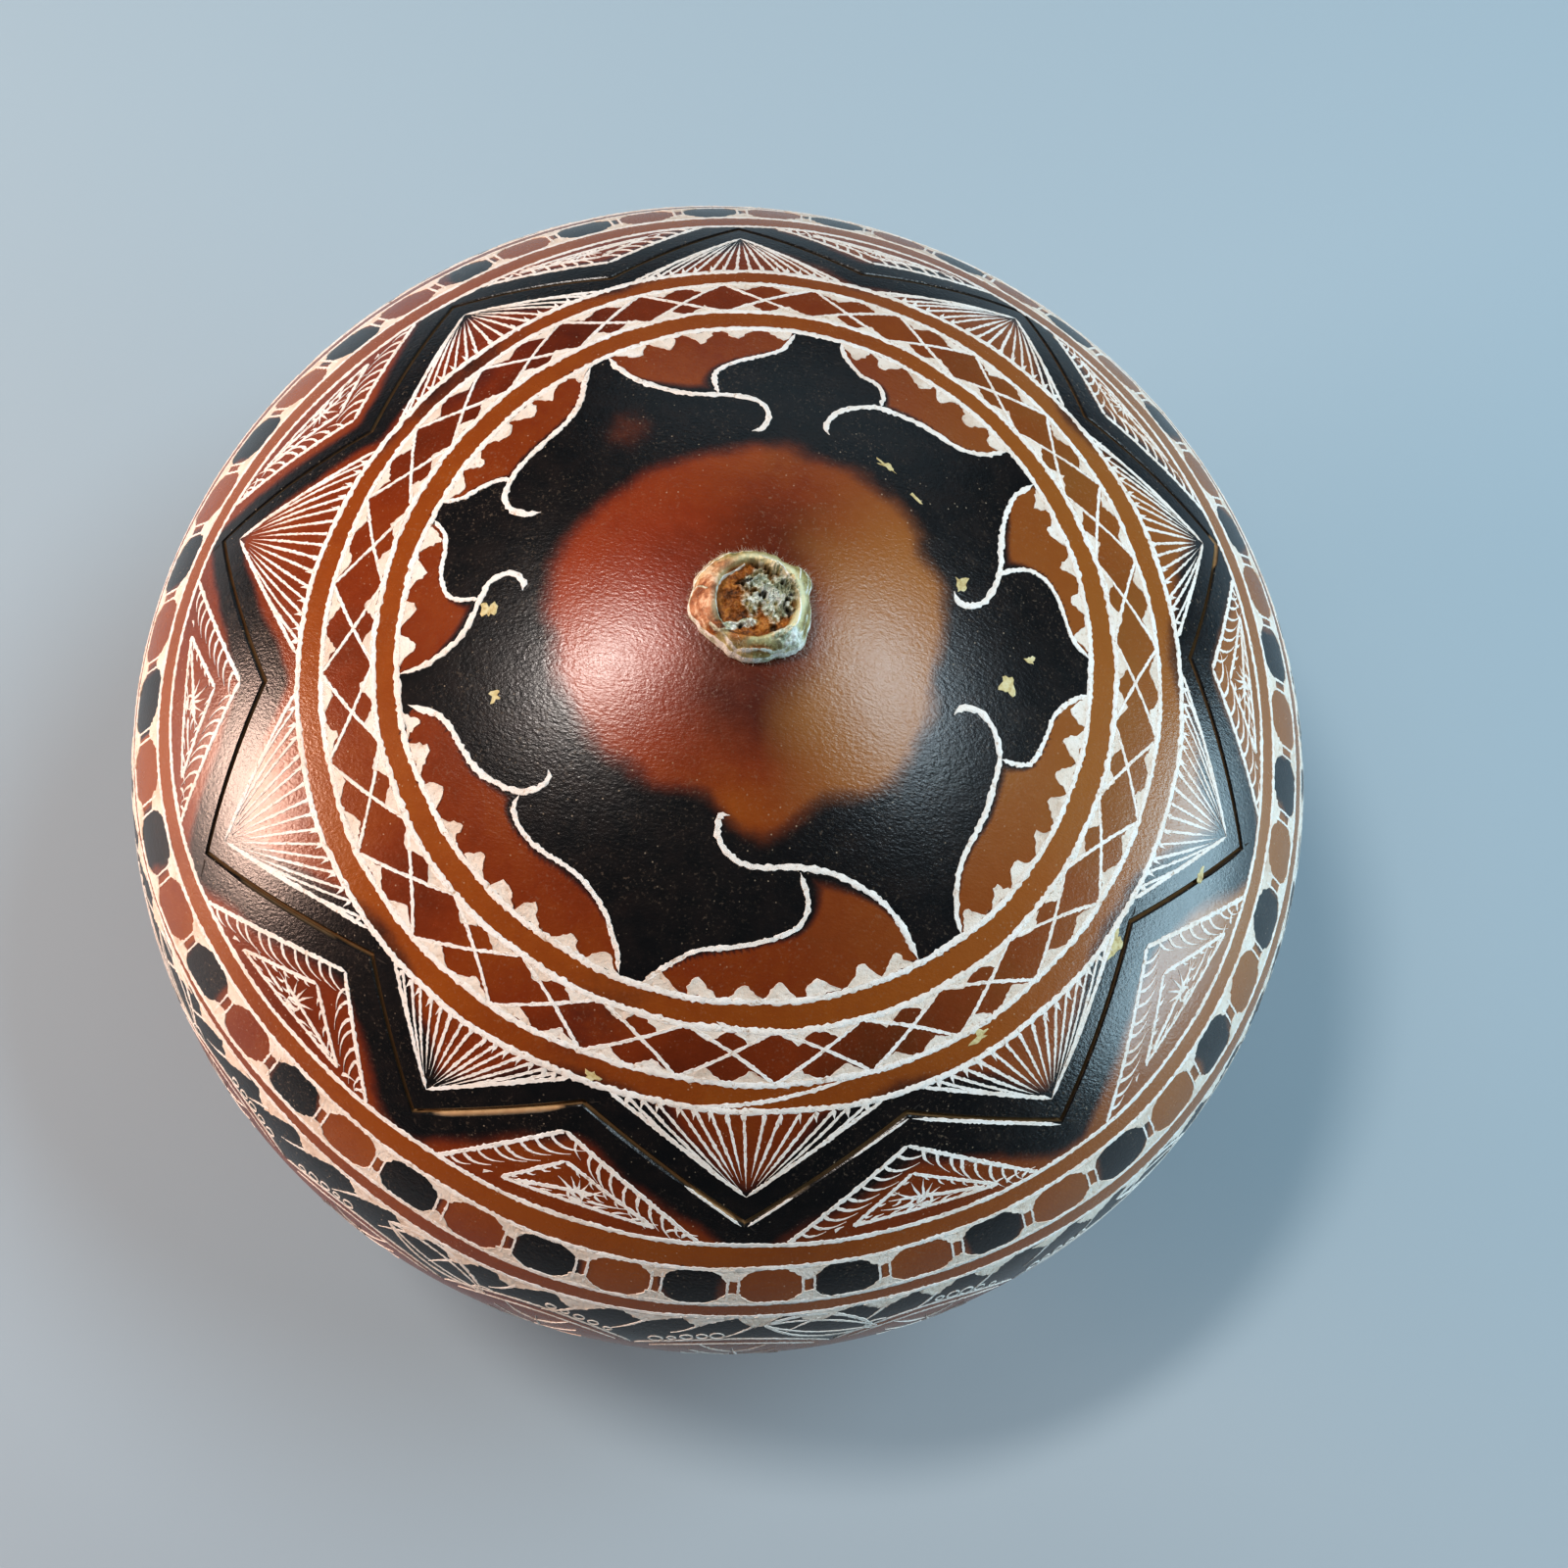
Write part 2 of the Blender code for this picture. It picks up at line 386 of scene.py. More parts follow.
def dryStalk(place, mark):
    fibre = place.noise(2600, 4.0, 0.7)
    patch = place.noise(620, 4.0, 0.65)
    tone = patch + (fibre - 0.5) * 0.5
    moss = tone.ramp((0.30, (0.16, 0.11, 0.030)), (0.47, (0.36, 0.29, 0.10)), (0.64, (0.60, 0.54, 0.26)))
    moss = (mark("ridge") * 0.85).mixed(moss, (0.78, 0.76, 0.50))
    rust = tone.ramp((0.32, (0.050, 0.016, 0.004)), (0.47, (0.27, 0.085, 0.012)), (0.64, (0.52, 0.21, 0.040)))
    pale = tone.ramp((0.30, (0.24, 0.24, 0.14)), (0.42, (0.60, 0.63, 0.48)), (0.55, (0.90, 0.92, 0.86)))
    peach = tone.ramp((0.34, (0.22, 0.075, 0.028)), (0.5, (0.50, 0.23, 0.11)), (0.64, (0.80, 0.56, 0.38)))
    colour = mark("peach").step(0.15, 0.75).mixed(moss, peach)
    colour = mark("rust").step(0.15, 0.75).mixed(colour, rust)
    colour = mark("pale").step(0.25, 0.75).mixed(colour, pale)
    # the pits are painted near black: painted shade in the sunk hollows of the crust
    colour = (mark("pit") * 0.9).mixed(colour, (0.030, 0.018, 0.008))
    return {"Base Color": colour, "Roughness": 0.38 + 0.4 * fibre, "Height": (0.9, 0.00014, fibre + patch)}


def dryFibre(place, mark):
    colour = place.noise(900, 2.0, 0.5).mixed((0.42, 0.33, 0.19), (0.86, 0.82, 0.70))
    return {"Base Color": colour, "Roughness": 0.5 + 0.2 * place.noise(2000)}


def seedCoat(place, mark):
    patch = place.noise(420, 4.0, 0.6)
    dark, brown, light = (0.060, 0.018, 0.010), (0.17, 0.065, 0.030), (0.30, 0.15, 0.07)
    colour = patch.ramp((0.3, dark), (0.55, brown), (0.75, light))
    return {"Base Color": colour, "Roughness": 0.32 + 0.25 * patch, "Height": (0.4, 0.0001, patch)}


def paperFloorWithPaintedShade(place, mark):
    patch = place.noise(6, 4.0, 0.5)
    away = place.node("ShaderNodeSeparateXYZ", None, {0: place}, out=1)
    # darker and greyer towards the front, paler and bluer towards the back: painted shade on the front of the
    # floor
    far = (patch - 0.5) * 0.2 + away.step(-0.24, 0.12)
    colour = far.mixed((0.37, 0.41, 0.44), (0.39, 0.50, 0.57))
    return {"Base Color": colour, "Roughness": 0.62 + 0.1 * patch}


skinMaterial = newMaterial("polishedGourdSkin", polishedSkin, IOR=1.52)
cutMaterial = newMaterial("limedCut", limedCut)
gougeMaterial = newMaterial("limedGouge", limedGouge)
chipMaterial = newMaterial("paleChip", paleChip)
slitShadeMaterial = newMaterial("knifeSlitShade", knifeSlitShade)
stalkMaterial = newMaterial("dryStalk", dryStalk)
fibreMaterial = newMaterial("dryFibre", dryFibre)
seedMaterial = newMaterial("seedCoat", seedCoat)
floorMaterial = newMaterial("paperFloorWithPaintedShade", paperFloorWithPaintedShade)
print("materials made")

# -- the drawing on the gourd

# Each ring line's arc, every 30 degrees of turn from 0
rings = {
    "crownIn": [.533, .532, .529, .517, .520, .529, .537, .528, .520, .523, .530, .531],
    "crownOut": [.572, .578, .577, .566, .565, .570, .579, .572, .565, .565, .570, .574],
    "latticeOut": [.651, .658, .656, .651, .651, .657, .658, .648, .646, .653, .661, .664],
    "fanIn": [.692, .702, .704, .700, .700, .707, .698, .688, .682, .695, .706, .708],
    "kiteOut": [.922, .934, .960, .926, .908, .906, .892, .862, .888, .975, .986, .932],
    "ovalIn": [.974, .976, 1.003, .968, .955, .955, .945, .915, .940, 1.020, 1.030, .974],
    "ovalOut": [1.058, 1.058, 1.107, 1.080, 1.060, 1.050, 1.040, 1.010, 1.050, 1.140, 1.137, 1.058],
    "friezeIn": [1.095, 1.093, 1.158, 1.130, 1.100, 1.090, 1.080, 1.055, 1.100, 1.180, 1.155, 1.090],
    "friezeOut": [1.52, 1.53, 1.54, 1.53, 1.52, 1.51, 1.51, 1.52, 1.53, 1.54, 1.53, 1.52],
    "footIn": [1.575, 1.585, 1.59, 1.58, 1.575, 1.57, 1.565, 1.57, 1.58, 1.59, 1.585, 1.575],
}


def ring(name, turn):
    return aroundGourd(rings[name], turn)


# The star cut's corners, as the CAD lists them: turn, and distance from the axis over the radius
starCorners = np.array([
    (14.0, 0.806), (33.0, 0.694), (49.5, 0.810), (70.0, 0.680),
    (86.5, 0.813), (106.5, 0.684), (122.5, 0.817), (142.5, 0.696),
    (158.5, 0.820), (178.0, 0.704), (194.0, 0.792), (212.0, 0.680),
    (230.5, 0.781), (251.0, 0.686), (267.5, 0.850), (286.0, 0.716),
    (302.0, 0.847), (323.0, 0.692), (337.5, 0.806), (354.0, 0.684),
])
lidGap = {"half": 0.0062, "perSide": 30, "chamfer": 0.00022}


def domeArc(share):
    above = outerSkin["z"] > gourd["equator"]
    return np.interp(share * gourd["radius"], outerSkin["r"][above], outerSkin["arc"][above])


starArc = domeArc(starCorners[:, 1])
starOnChart = onChart(starCorners[:, 0], starArc)
points, notches = starCorners[0::2, 0], starCorners[1::2, 0]
pointArcs, notchArcs = starArc[0::2], starArc[1::2]


def starSlopes(perSide):
    # turns round the star, and the slope (z - apex) / r of the knife's plane at each
    turns, slopes = [], []
    rise = outerSkin["z"][domeOnly] - gourd["cutApex"]
    for i in range(len(starCorners)):
        a, b = starCorners[i], starCorners[(i + 1) % len(starCorners)].copy()
        if b[0] < a[0]:
            b[0] += 360
        ends = []
        for turn, share in (a, b):
            r = share * gourd["radius"]
            z = np.interp(r, outerSkin["r"][domeOnly], rise)
            ends.append((r * math.sin(math.radians(turn)), -r * math.cos(math.radians(turn)), z))
        plane = np.cross(*ends)
        turn = np.linspace(a[0], b[0], perSide, endpoint=False)
        way = np.radians(turn)
        slopes.append(-(plane[0] * np.sin(way) - plane[1] * np.cos(way)) / plane[2])
        turns.append(turn)
    return np.concatenate(turns), np.concatenate(slopes)


def cutArc(slope, skin):
    # arc at which the knife's plane meets a skin: the dome's slope from the apex falls steadily
    r, z, arc = (skin[key][domeOnly][1:] for key in ("r", "z", "arc"))
    return np.interp(-slope, -(z - gourd["cutApex"]) / r, arc)


# Flame petals: the dark side's line from its root to the fork, the bright line from the hook's
# tip over the petal's back to its other root, as (turn, arc)
petals = [
    {"side": [(356.5, .527), (360, .492), (364, .466), (370, .455), (376, .445), (382, .430),
              (384.6, .400), (384, .355)],
     "back": [(366, .275), (363.3, .277), (363.2, .296), (365, .317), (369, .335), (374, .343), (380, .345),
              (385, .350), (391, .366), (396, .398), (399, .430), (400.6, .470), (401, .527)], "fork": 7},
    {"side": [(96.5, .515), (95.3, .493), (93, .472), (90, .458), (85, .453), (80, .444),
              (78.2, .420), (77.5, .400)],
     "back": [(81, .308), (83, .312), (85, .332), (84.6, .350), (82.5, .372), (80, .386), (77, .398),
              (72, .408), (66, .422), (60, .433), (55, .450), (52, .475), (50, .502), (49, .530)], "fork": 6},
    {"side": [(103, .513), (106, .486), (110, .476), (114, .470), (118, .455), (120, .430),
              (120.4, .400), (119.5, .378)],
     "back": [(117, .297), (114, .299), (112.4, .318), (113.6, .343), (117, .366), (122, .388), (127, .405),
              (131, .428), (134, .456), (135.4, .480), (136, .522)], "fork": 4},
    {"side": [(178, .535), (177, .510), (175, .490), (172.6, .475), (169, .469), (167, .451), (166.4, .430)],
     "back": [(174, .334), (175.4, .342), (175.5, .360), (174, .384), (171, .405), (167, .424), (163, .431),
              (158, .439), (152, .445), (148, .456), (145, .481), (143.3, .525)], "fork": 5},
    {"side": [(186, .530), (188, .490), (192, .470), (197, .455), (200.5, .440), (201.7, .420),
              (201.4, .390)],
     "back": [(194.5, .314), (191.6, .320), (190, .345), (192, .370), (196, .382), (202, .389), (208, .400),
              (213, .424), (216.5, .455), (218.4, .490), (219, .524)], "fork": 5},
    {"side": [(258.5, .520), (256.8, .492), (254, .475), (251, .456), (249.5, .438)],
     "back": [(253.5, .362), (255, .379), (255.6, .404), (253.6, .427), (250, .436), (245, .440), (238, .440),
              (232, .446), (228, .465), (225.5, .490), (222.5, .518)], "fork": 4},
    {"side": [(262, .516), (264, .490), (267, .478), (271, .474), (275, .460), (276.6, .440), (276.5, .403)],
     "back": [(274, .340), (271.5, .343), (269.9, .364), (272, .389), (276, .401), (281, .412), (285, .431),
              (287.6, .460), (289, .490), (289.5, .525)], "fork": 4},
    {"side": [(352.5, .527), (351, .500), (349, .480), (346, .456), (341, .438), (336, .433),
              (330, .440), (325, .440), (321, .430), (319.4, .410)],
     "back": [(319, .358), (320.6, .365), (321, .381), (320.2, .396), (319, .410), (315, .430), (311, .445),
              (306, .453), (301, .461), (298, .476), (295, .515)], "fork": 4},
]


def petalOutline(petal):
    # the side line to the fork, then the back line from the fork to its root
    side = throughPoints(petal["side"], 4)
    back = throughPoints(petal["back"][petal["fork"]:], 4)
    outline = np.vstack([side, back])
    low, high = outline[0], outline[-1]
    rim = np.linspace(high, low, 12)[1:-1]
    rim[:, 1] = ring("crownIn", rim[:, 0])
    return onChart(*np.vstack([outline, rim]).T)


petalOutlines = [petalOutline(petal) for petal in petals]

# where the crown's brown turns black, every 15 degrees
crownEdge = [.278, .324, .284, .290, .296, .287, .276, .277, .285, .296, .304, .302,
             .298, .296, .296, .297, .302, .312, .316, .310, .309, .303, .287, .276]

ovals = {"count": 50, "first": 2.4, "spacing": 7.2}


def ovalMiddle(i):
    middle = ovals["first"] + ovals["spacing"] * i
    return middle + 1.5 * math.exp(-(((middle - 62) / 26) ** 2))


ovalMiddles = np.array([ovalMiddle(i) for i in range(ovals["count"])])
ovalBars = (ovalMiddles + np.append(ovalMiddles[1:], ovalMiddles[0] + 360)) / 2

hills = {"count": 20, "first": 5.0, "valley": 0.125}


def hillTop(turn):
    # arc of the brown hills' outline: rounded tops, pointed valleys, no two alike
    wide = 360 / hills["count"]
    share = ((turn - hills["first"]) % wide) / wide
    number = ((turn - hills["first"]) // wide) % hills["count"]
    tall = 0.050 + 0.016 * np.sin(number * 2.4)
    return ring("friezeIn", turn) + hills["valley"] - tall * np.sin(math.pi * share) ** 0.7


def zones(turn, arc, spots):
    # tone of the bare skin and depth of the burning, at each place
    wander = cloud(spots, 0.020, 3)
    ripple = cloud(spots, 0.0065, 4)
    blotch = cloud(spots, 0.034, 5)
    flat = onChart(turn, arc)
    level = {name: ring(name, turn) for name in rings}
    tone = np.full(len(turn), 0.26) + 0.34 * smoothStep(arc, 0.09, 0.27) + 0.16 * blotch + 0.08 * wander
    for place, size, more in (((25, .13), .10, -.20), ((184, .14), .11, -.16), ((10, .27), .06, .25),
                              ((120, .22), .10, .22), ((285, .24), .12, .16)):
        glow = np.linalg.norm((flat - onChart(*place)) / size, axis=1)
        tone += more * np.exp(-glow**2)
    burn = np.zeros(len(turn))

    petalDepth = np.full(len(turn), -1.0)
    for outline in petalOutlines:
        nearest, inside = toOutline(flat, outline)
        petalDepth = np.maximum(petalDepth, np.where(inside, nearest, -nearest))
    fade = 0.004 + 0.36 * (level["crownIn"] - arc - 0.055 + 0.012 * ripple).clip(0, 0.09)
    inPetal = smoothStep(petalDepth, 0.0, fade)
    domeEdge = aroundGourd(crownEdge, turn)
    night = smoothStep(arc + 0.005 * wander + 0.006 * ripple, domeEdge - 0.046, domeEdge + 0.020)
    # two places where the black is thin
    for place, size, less in (((224.0, 0.372), 0.040, 0.50), ((352.0, 0.44), 0.07, 0.14)):
        glow = np.linalg.norm((flat - onChart(*place)) / size, axis=1)
        night *= 1 - less * np.exp(-glow**2)
    crown = arc < level["crownIn"]
    burn = np.where(crown, night * (1 - inPetal), burn)
    tone = np.where(crown & (petalDepth > -0.004), 0.56 + 0.10 * blotch, tone)

    def band(low, high):
        return (arc >= level[low]) & (arc < level[high])

    tone = np.where(band("crownIn", "crownOut"), 0.90, tone)
    tone = np.where(band("crownOut", "latticeOut"), 0.40 + 0.18 * wander, tone)
    tone = np.where(band("latticeOut", "fanIn"), 0.88, tone)
    smudge = smoothStep(blotch + 0.35 * wander, 0.55, 1.35)
    burn = np.where(band("crownIn", "fanIn"), 0.60 * smudge, burn)
    tone = np.where(band("fanIn", "kiteOut"), 0.50 + 0.10 * wander, tone)

    toCut = toOutline(flat, starOnChart)[0]
    # the scorched belt along the cut is narrower and smokier on one side of the gourd
    tight = 0.75 * np.exp(-(((turn - 262 + 180) % 360 - 180) / 34) ** 2)
    belt = 1 - smoothStep(toCut * (1 + tight) + 0.008 * wander + 0.007 * ripple, 0.034, 0.082)
    burn = np.where(band("fanIn", "kiteOut"), np.maximum(belt, burn), burn)
    hem = (1 - smoothStep(toCut, 0.040, 0.085)) * smoothStep(arc, level["latticeOut"], level["fanIn"])
    burn = np.where(band("latticeOut", "fanIn"), np.maximum(burn, 0.55 * hem), burn)

    tone = np.where(band("kiteOut", "ovalIn"), 0.92 + 0.08 * wander, tone)
    tone = np.where(band("ovalIn", "ovalOut"), 0.84 + 0.14 * wander, tone)
    number = np.abs((turn[:, None] - ovalMiddles[None, :] + 180) % 360 - 180)
    smoke = smoothStep(3.25 - number.min(1) + 0.55 * ripple + 0.75 * wander, -0.1, 0.9)
    dark = (0.30 + 0.70 * smoke) * (number.argmin(1) % 2)
    burn = np.where(band("ovalIn", "ovalOut"), dark, burn)
    tone = np.where(band("ovalOut", "friezeIn"), 0.82 + 0.10 * wander, tone)
    frieze = band("friezeIn", "friezeOut")
    ground = 1 - smoothStep(arc + 0.004 * ripple, hillTop(turn) - 0.008, hillTop(turn) + 0.010)
    low = smoothStep(arc + 0.02 * wander, level["friezeOut"] - 0.11, level["friezeOut"] - 0.03)
    tone = np.where(frieze, 0.60 + 0.16 * wander, tone)
    burn = np.where(frieze, 0.97 * np.maximum(ground, low) * (1 - 0.3 * smoothStep(blotch, 0.2, 1.2)), burn)
    tone = np.where(arc >= level["friezeOut"], 0.72 + 0.14 * wander, tone)
    foot = arc >= level["footIn"]
    tone = np.where(foot, 0.62 + 0.16 * blotch, tone)
    burn = np.where(foot, 0.55 * smoothStep(blotch + 0.4 * wander, 0.5, 1.4), burn)
    # the crown is redder on one side and more golden on the other: partly the skin's own tint, partly painted
    # lamp colour that follows the warm lamps on the red side and the cool lamps on the golden side
    side = np.cos(np.radians(turn - 282))
    red, gold = np.maximum(side, 0) ** 1.4, np.maximum(-side, 0) ** 0.6
    onDome = 1 - smoothStep(arc, domeEdge - 0.01, domeEdge + 0.05)
    blush = red * (0.24 + 0.50 * onDome) - gold * (0.62 + 0.30 * onDome)
    blush = blush * smoothStep(arc, 0.03, 0.16) + (0.14 + 0.14 * onDome) * blotch
    return tone, burn, blush


print("drawing laid out")

# -- the two shells

lidShape = {"outerRows": 104, "innerRows": 18, "wallRows": 4}
bowlShape = {
    "upperRows": 66, "lowerRows": 46, "baseRows": 5, "wallRows": 4, "innerRows": 26,
    "shoulder": 1.20,
}
# stretches of the bowl's cut edge where pale flesh shows: from turn, to turn, width in mm
paleEdges = [(338, 353.5, .50), (355, 368, .22), (367, 374, .34), (14.5, 22, .26), (22, 33, .14),
             (40, 49.5, .26), (303, 322, .26), (272, 280, .22), (119, 124, .42), (80, 86.5, .24)]


def edgeFlesh(turn):
    # how wide the pale flesh shows along the bowl's cut edge, in metres
    turn = turn % 360
    width = np.full(len(turn), 0.00012)
    for low, high, most in paleEdges:
        middle, half = (low + high) / 2, (high - low) / 2
        away = np.abs((turn - middle + 180) % 360 - 180) / half
        width = np.maximum(width, most * mm * (1 - smoothStep(away, 0.55, 1.05)))
    return width


def closeShell(name, body, turn, rows, arcs, poles, poleArcs, flesh, inside, poleInside):
    # one closed mesh of rows between two poles, with the marks that its paint reads
    verts = np.concatenate([poles[:1], rows.reshape(-1, 3), poles[1:]])
    around = np.concatenate([[0.0], np.broadcast_to(turn, arcs.shape).ravel(), [0.0]])
    flat = np.concatenate([poleArcs[:1], arcs.ravel(), poleArcs[1:]])
    flesh = np.concatenate([[0], flesh.ravel(), [0]])
    inside = np.concatenate([poleInside[:1], inside.ravel(), poleInside[1:]])
    tone, burn, blush = zones(around, flat, verts)
    marks = {"tone": tone, "burn": burn * (1 - flesh) * (1 - inside), "blush": blush,
             "rub": smoothStep(cloud(verts, 0.03, 9), 0.0, 1.2), "flesh": flesh, "inside": inside}
    return newPiece(name, verts, turnedFaces(*arcs.shape), skinMaterial, body, marks, sharp=38)


def wallRows(first, last, count):
    # rows across the cut face, from one skin's edge to the other's
    share = np.linspace(0, 1, count + 2)[1:-1, None, None]
    return first[None] * (1 - share) + last[None] * share


def makeLid():
    # from the crown's middle out to the cut, down it, and back under the crown
    turn, slope = starSlopes(lidGap["perSide"])
    slope = slope / (1 - lidGap["half"])
    edge, innerEdge = cutArc(slope, outerSkin), cutArc(slope, innerSkin)
    share = np.linspace(0, 1, lidShape["outerRows"] + 1)[1:, None]
    bevel = lidGap["chamfer"] / gourd["radius"]
    outerArcs = np.vstack([share * (edge - bevel), edge])
    lift = np.zeros_like(outerArcs)
    lift[-1] = -lidGap["chamfer"] * 0.8
    outer = onSkin(turn, outerArcs, lift)
    innerArcs = np.linspace(1, 0, lidShape["innerRows"] + 1)[:-1, None] * innerEdge
    inner = onSkin(turn, innerArcs, 0.0, innerSkin)
    wall = wallRows(outer[-1], inner[0], lidShape["wallRows"])
    arcs = np.concatenate([outerArcs, np.broadcast_to(edge, wall.shape[:2]), innerArcs])
    flesh, inside = np.zeros_like(arcs), np.zeros_like(arcs)
    wallStart, wallEnd = len(outer), len(outer) + len(wall)
    flesh[wallStart:wallEnd] = 0.9
    inside[wallEnd:] = 1.0
    poles = np.stack([onSkin(0.0, 0.0), onSkin(0.0, 0.0, 0.0, innerSkin)])
    rows = np.concatenate([outer, wall, inner])
    lid = closeShell("gourdLid", "lid", turn, rows, arcs, poles, (0.0, 0.0), flesh, inside, (0, 1))
    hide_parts("gourd_lid")


def makeBowl():
    # from the inner floor's middle up to the cut, over it, and down the outside to the base
    turn, slope = starSlopes(lidGap["perSide"])
    slope = slope / (1 + lidGap["half"])
    edge, innerEdge = cutArc(slope, outerSkin), cutArc(slope, innerSkin)
    endArc, innerEnd = outerSkin["arc"][-1], innerSkin["arc"][-1]
    chamfer, shoulder = edgeFlesh(turn), bowlShape["shoulder"]
    share = np.linspace(0, 1, bowlShape["upperRows"] + 1)[:, None]
    upper = (edge + chamfer / gourd["radius"]) * (1 - share) + shoulder * share
    share = np.linspace(0, 1, bowlShape["lowerRows"] + 1)[1:, None]
    lower = shoulder + (baseEdgeArc - shoulder) * share + 0 * turn
    base = np.linspace(baseEdgeArc, endArc, bowlShape["baseRows"] + 2)[1:-1, None] + 0 * turn
    outerArcs = np.vstack([edge, upper, lower, base])
    lift = np.zeros_like(outerArcs)
    lift[0] = -chamfer * 0.9
    outer = onSkin(turn, outerArcs, lift)
    back = np.linspace(1, 0, bowlShape["innerRows"] + 1)[1:, None]
    innerArcs = innerEdge * (1 - back) + innerEnd * back
    inner = onSkin(turn, innerArcs, 0.0, innerSkin)
    wall = wallRows(inner[-1], outer[0], bowlShape["wallRows"])
    arcs = np.concatenate([innerArcs, np.broadcast_to(edge, wall.shape[:2]), outerArcs])
    flesh, inside = np.zeros_like(arcs), np.zeros_like(arcs)
    wallStart, wallEnd = len(inner), len(inner) + len(wall)
    inside[:wallStart] = 1.0
    flesh[wallStart:wallEnd] = 0.9
    flesh[wallEnd] = smoothStep(chamfer, 0.00022, 0.00034)
    poles = np.stack([onSkin(0.0, innerEnd, 0.0, innerSkin), onSkin(0.0, endArc)])
    rows = np.concatenate([inner, wall, outer])
    bowl = closeShell("gourdBowl", "bowl", turn, rows, arcs, poles, (innerEnd, endArc), flesh, inside, (1, 0))
    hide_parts("gourd_bowl")


makeLid()
makeBowl()
print("shells made")

# -- carved lines: a low, torn ribbon carried along each line

carving = {
    "lift": 0.00006, "under": 0.00005, "ragged": 0.22, "torn": 0.00010,
    "stepCoarse": 0.00030, "stepFine": 0.00024, "stepPatch": 0.00036,
}


def carvedLines(name, strokes, body, material, seed, lift=1.0):
    # each stroke is (points as turn and arc, width in mm, ends): the cross-section has two raised
    # torn lips, a sunk middle and its edges under the skin; ends says over which share of its
    # length the stroke tapers at its start and at its end, or that it is closed, as a ring is
    chance = np.random.default_rng(seed)
    verts, faces, base = [], [], 0
    across = np.array([-1.0, -0.72, 0.0, 0.72, 1.0, 0.0])
    raised = np.array([-1.0, 0.9, 0.6, 0.9, -1.0, -1.4])
    for line, width, ends in strokes:
        step = carving["stepCoarse"] if width > 0.6 else carving["stepFine"]
        line = np.asarray(line, float)
        spots = onSkin(line[:, 0], line[:, 1])
        length = np.concatenate([[0], np.cumsum(np.linalg.norm(np.diff(spots, axis=0), axis=1))])
        count = max(5, int(length[-1] / step) + 1)
        along = np.linspace(0, length[-1], count)
        turn = np.interp(along, length, line[:, 0])
        arc = np.interp(along, length, line[:, 1])
        spots = onSkin(turn, arc)
        up = outward(turn, arc)
        way = np.gradient(spots, axis=0)
        side = np.cross(up, way)
        side /= np.linalg.norm(side, axis=1)[:, None]
        share = np.linspace(0, 1, count)
        taper = np.ones(count)
        if ends != "closed":
            taper = 1 - smoothStep(share, 1 - ends[1], 1.0) * 0.93
            taper *= 1 - smoothStep(1 - share, 1 - ends[0], 1.0) * 0.93
        slow = np.convolve(chance.normal(size=count + 8), np.ones(9) / 3, "valid")
        half = width * mm / 2 * taper * (1 + 0.05 * slow)
        rough = 1 + carving["ragged"] * chance.normal(size=(count, 2)).clip(-1.6, 2.2)
        reach = np.stack([rough[:, 0], rough[:, 0], 0.2 * chance.normal(size=count),
                          rough[:, 1], rough[:, 1], np.zeros(count)], 1)
        reach[:, [0, 1, 3, 4]] *= across[[0, 1, 3, 4]]
        high = raised * np.where(raised > 0, carving["lift"] * lift, carving["under"])
        high = high[None, :] * (1 + 0.16 * chance.normal(size=(count, 6)).clip(-1.5, 1.5) * (raised > 0))
        high = np.where(raised > 0, np.maximum(high, 0.000012), high)
        ringOf = (spots[:, None, :] + side[:, None, :] * (half[:, None] * reach)[:, :, None]
                  + up[:, None, :] * high[:, :, None])
        verts.append(ringOf.reshape(-1, 3))
        i = np.arange(count - 1)[:, None] * 6
        j = np.arange(6)[None, :]
        k = (j + 1) % 6
        quads = np.stack([i + j, i + 6 + j, i + 6 + k, i + k], -1).reshape(-1, 4) + base
        faces += quads.tolist()
        if ends == "closed":
            last = base + (count - 1) * 6
            # the last ring of points meets the first
            quads = np.stack([last + j[0], base + j[0], base + k[0], last + k[0]], -1)
            faces += quads.tolist()
        else:
            faces.append([base + n for n in range(6)])
            faces.append([base + (count - 1) * 6 + n for n in range(5, -1, -1)])
        base += count * 6
    piece = newPiece(name, np.concatenate(verts), faces, material, body, sharp=50)
    print(name, len(faces), "faces")


def ringStroke(name, width):
    turn = np.linspace(0, 360, 900, endpoint=False)
    shake = 0.0016 * np.sin(np.radians(turn) * 17 + len(name)) * np.sin(np.radians(turn) * 5)
    return np.stack([turn, ring(name, turn) + shake], 1), width, "closed"


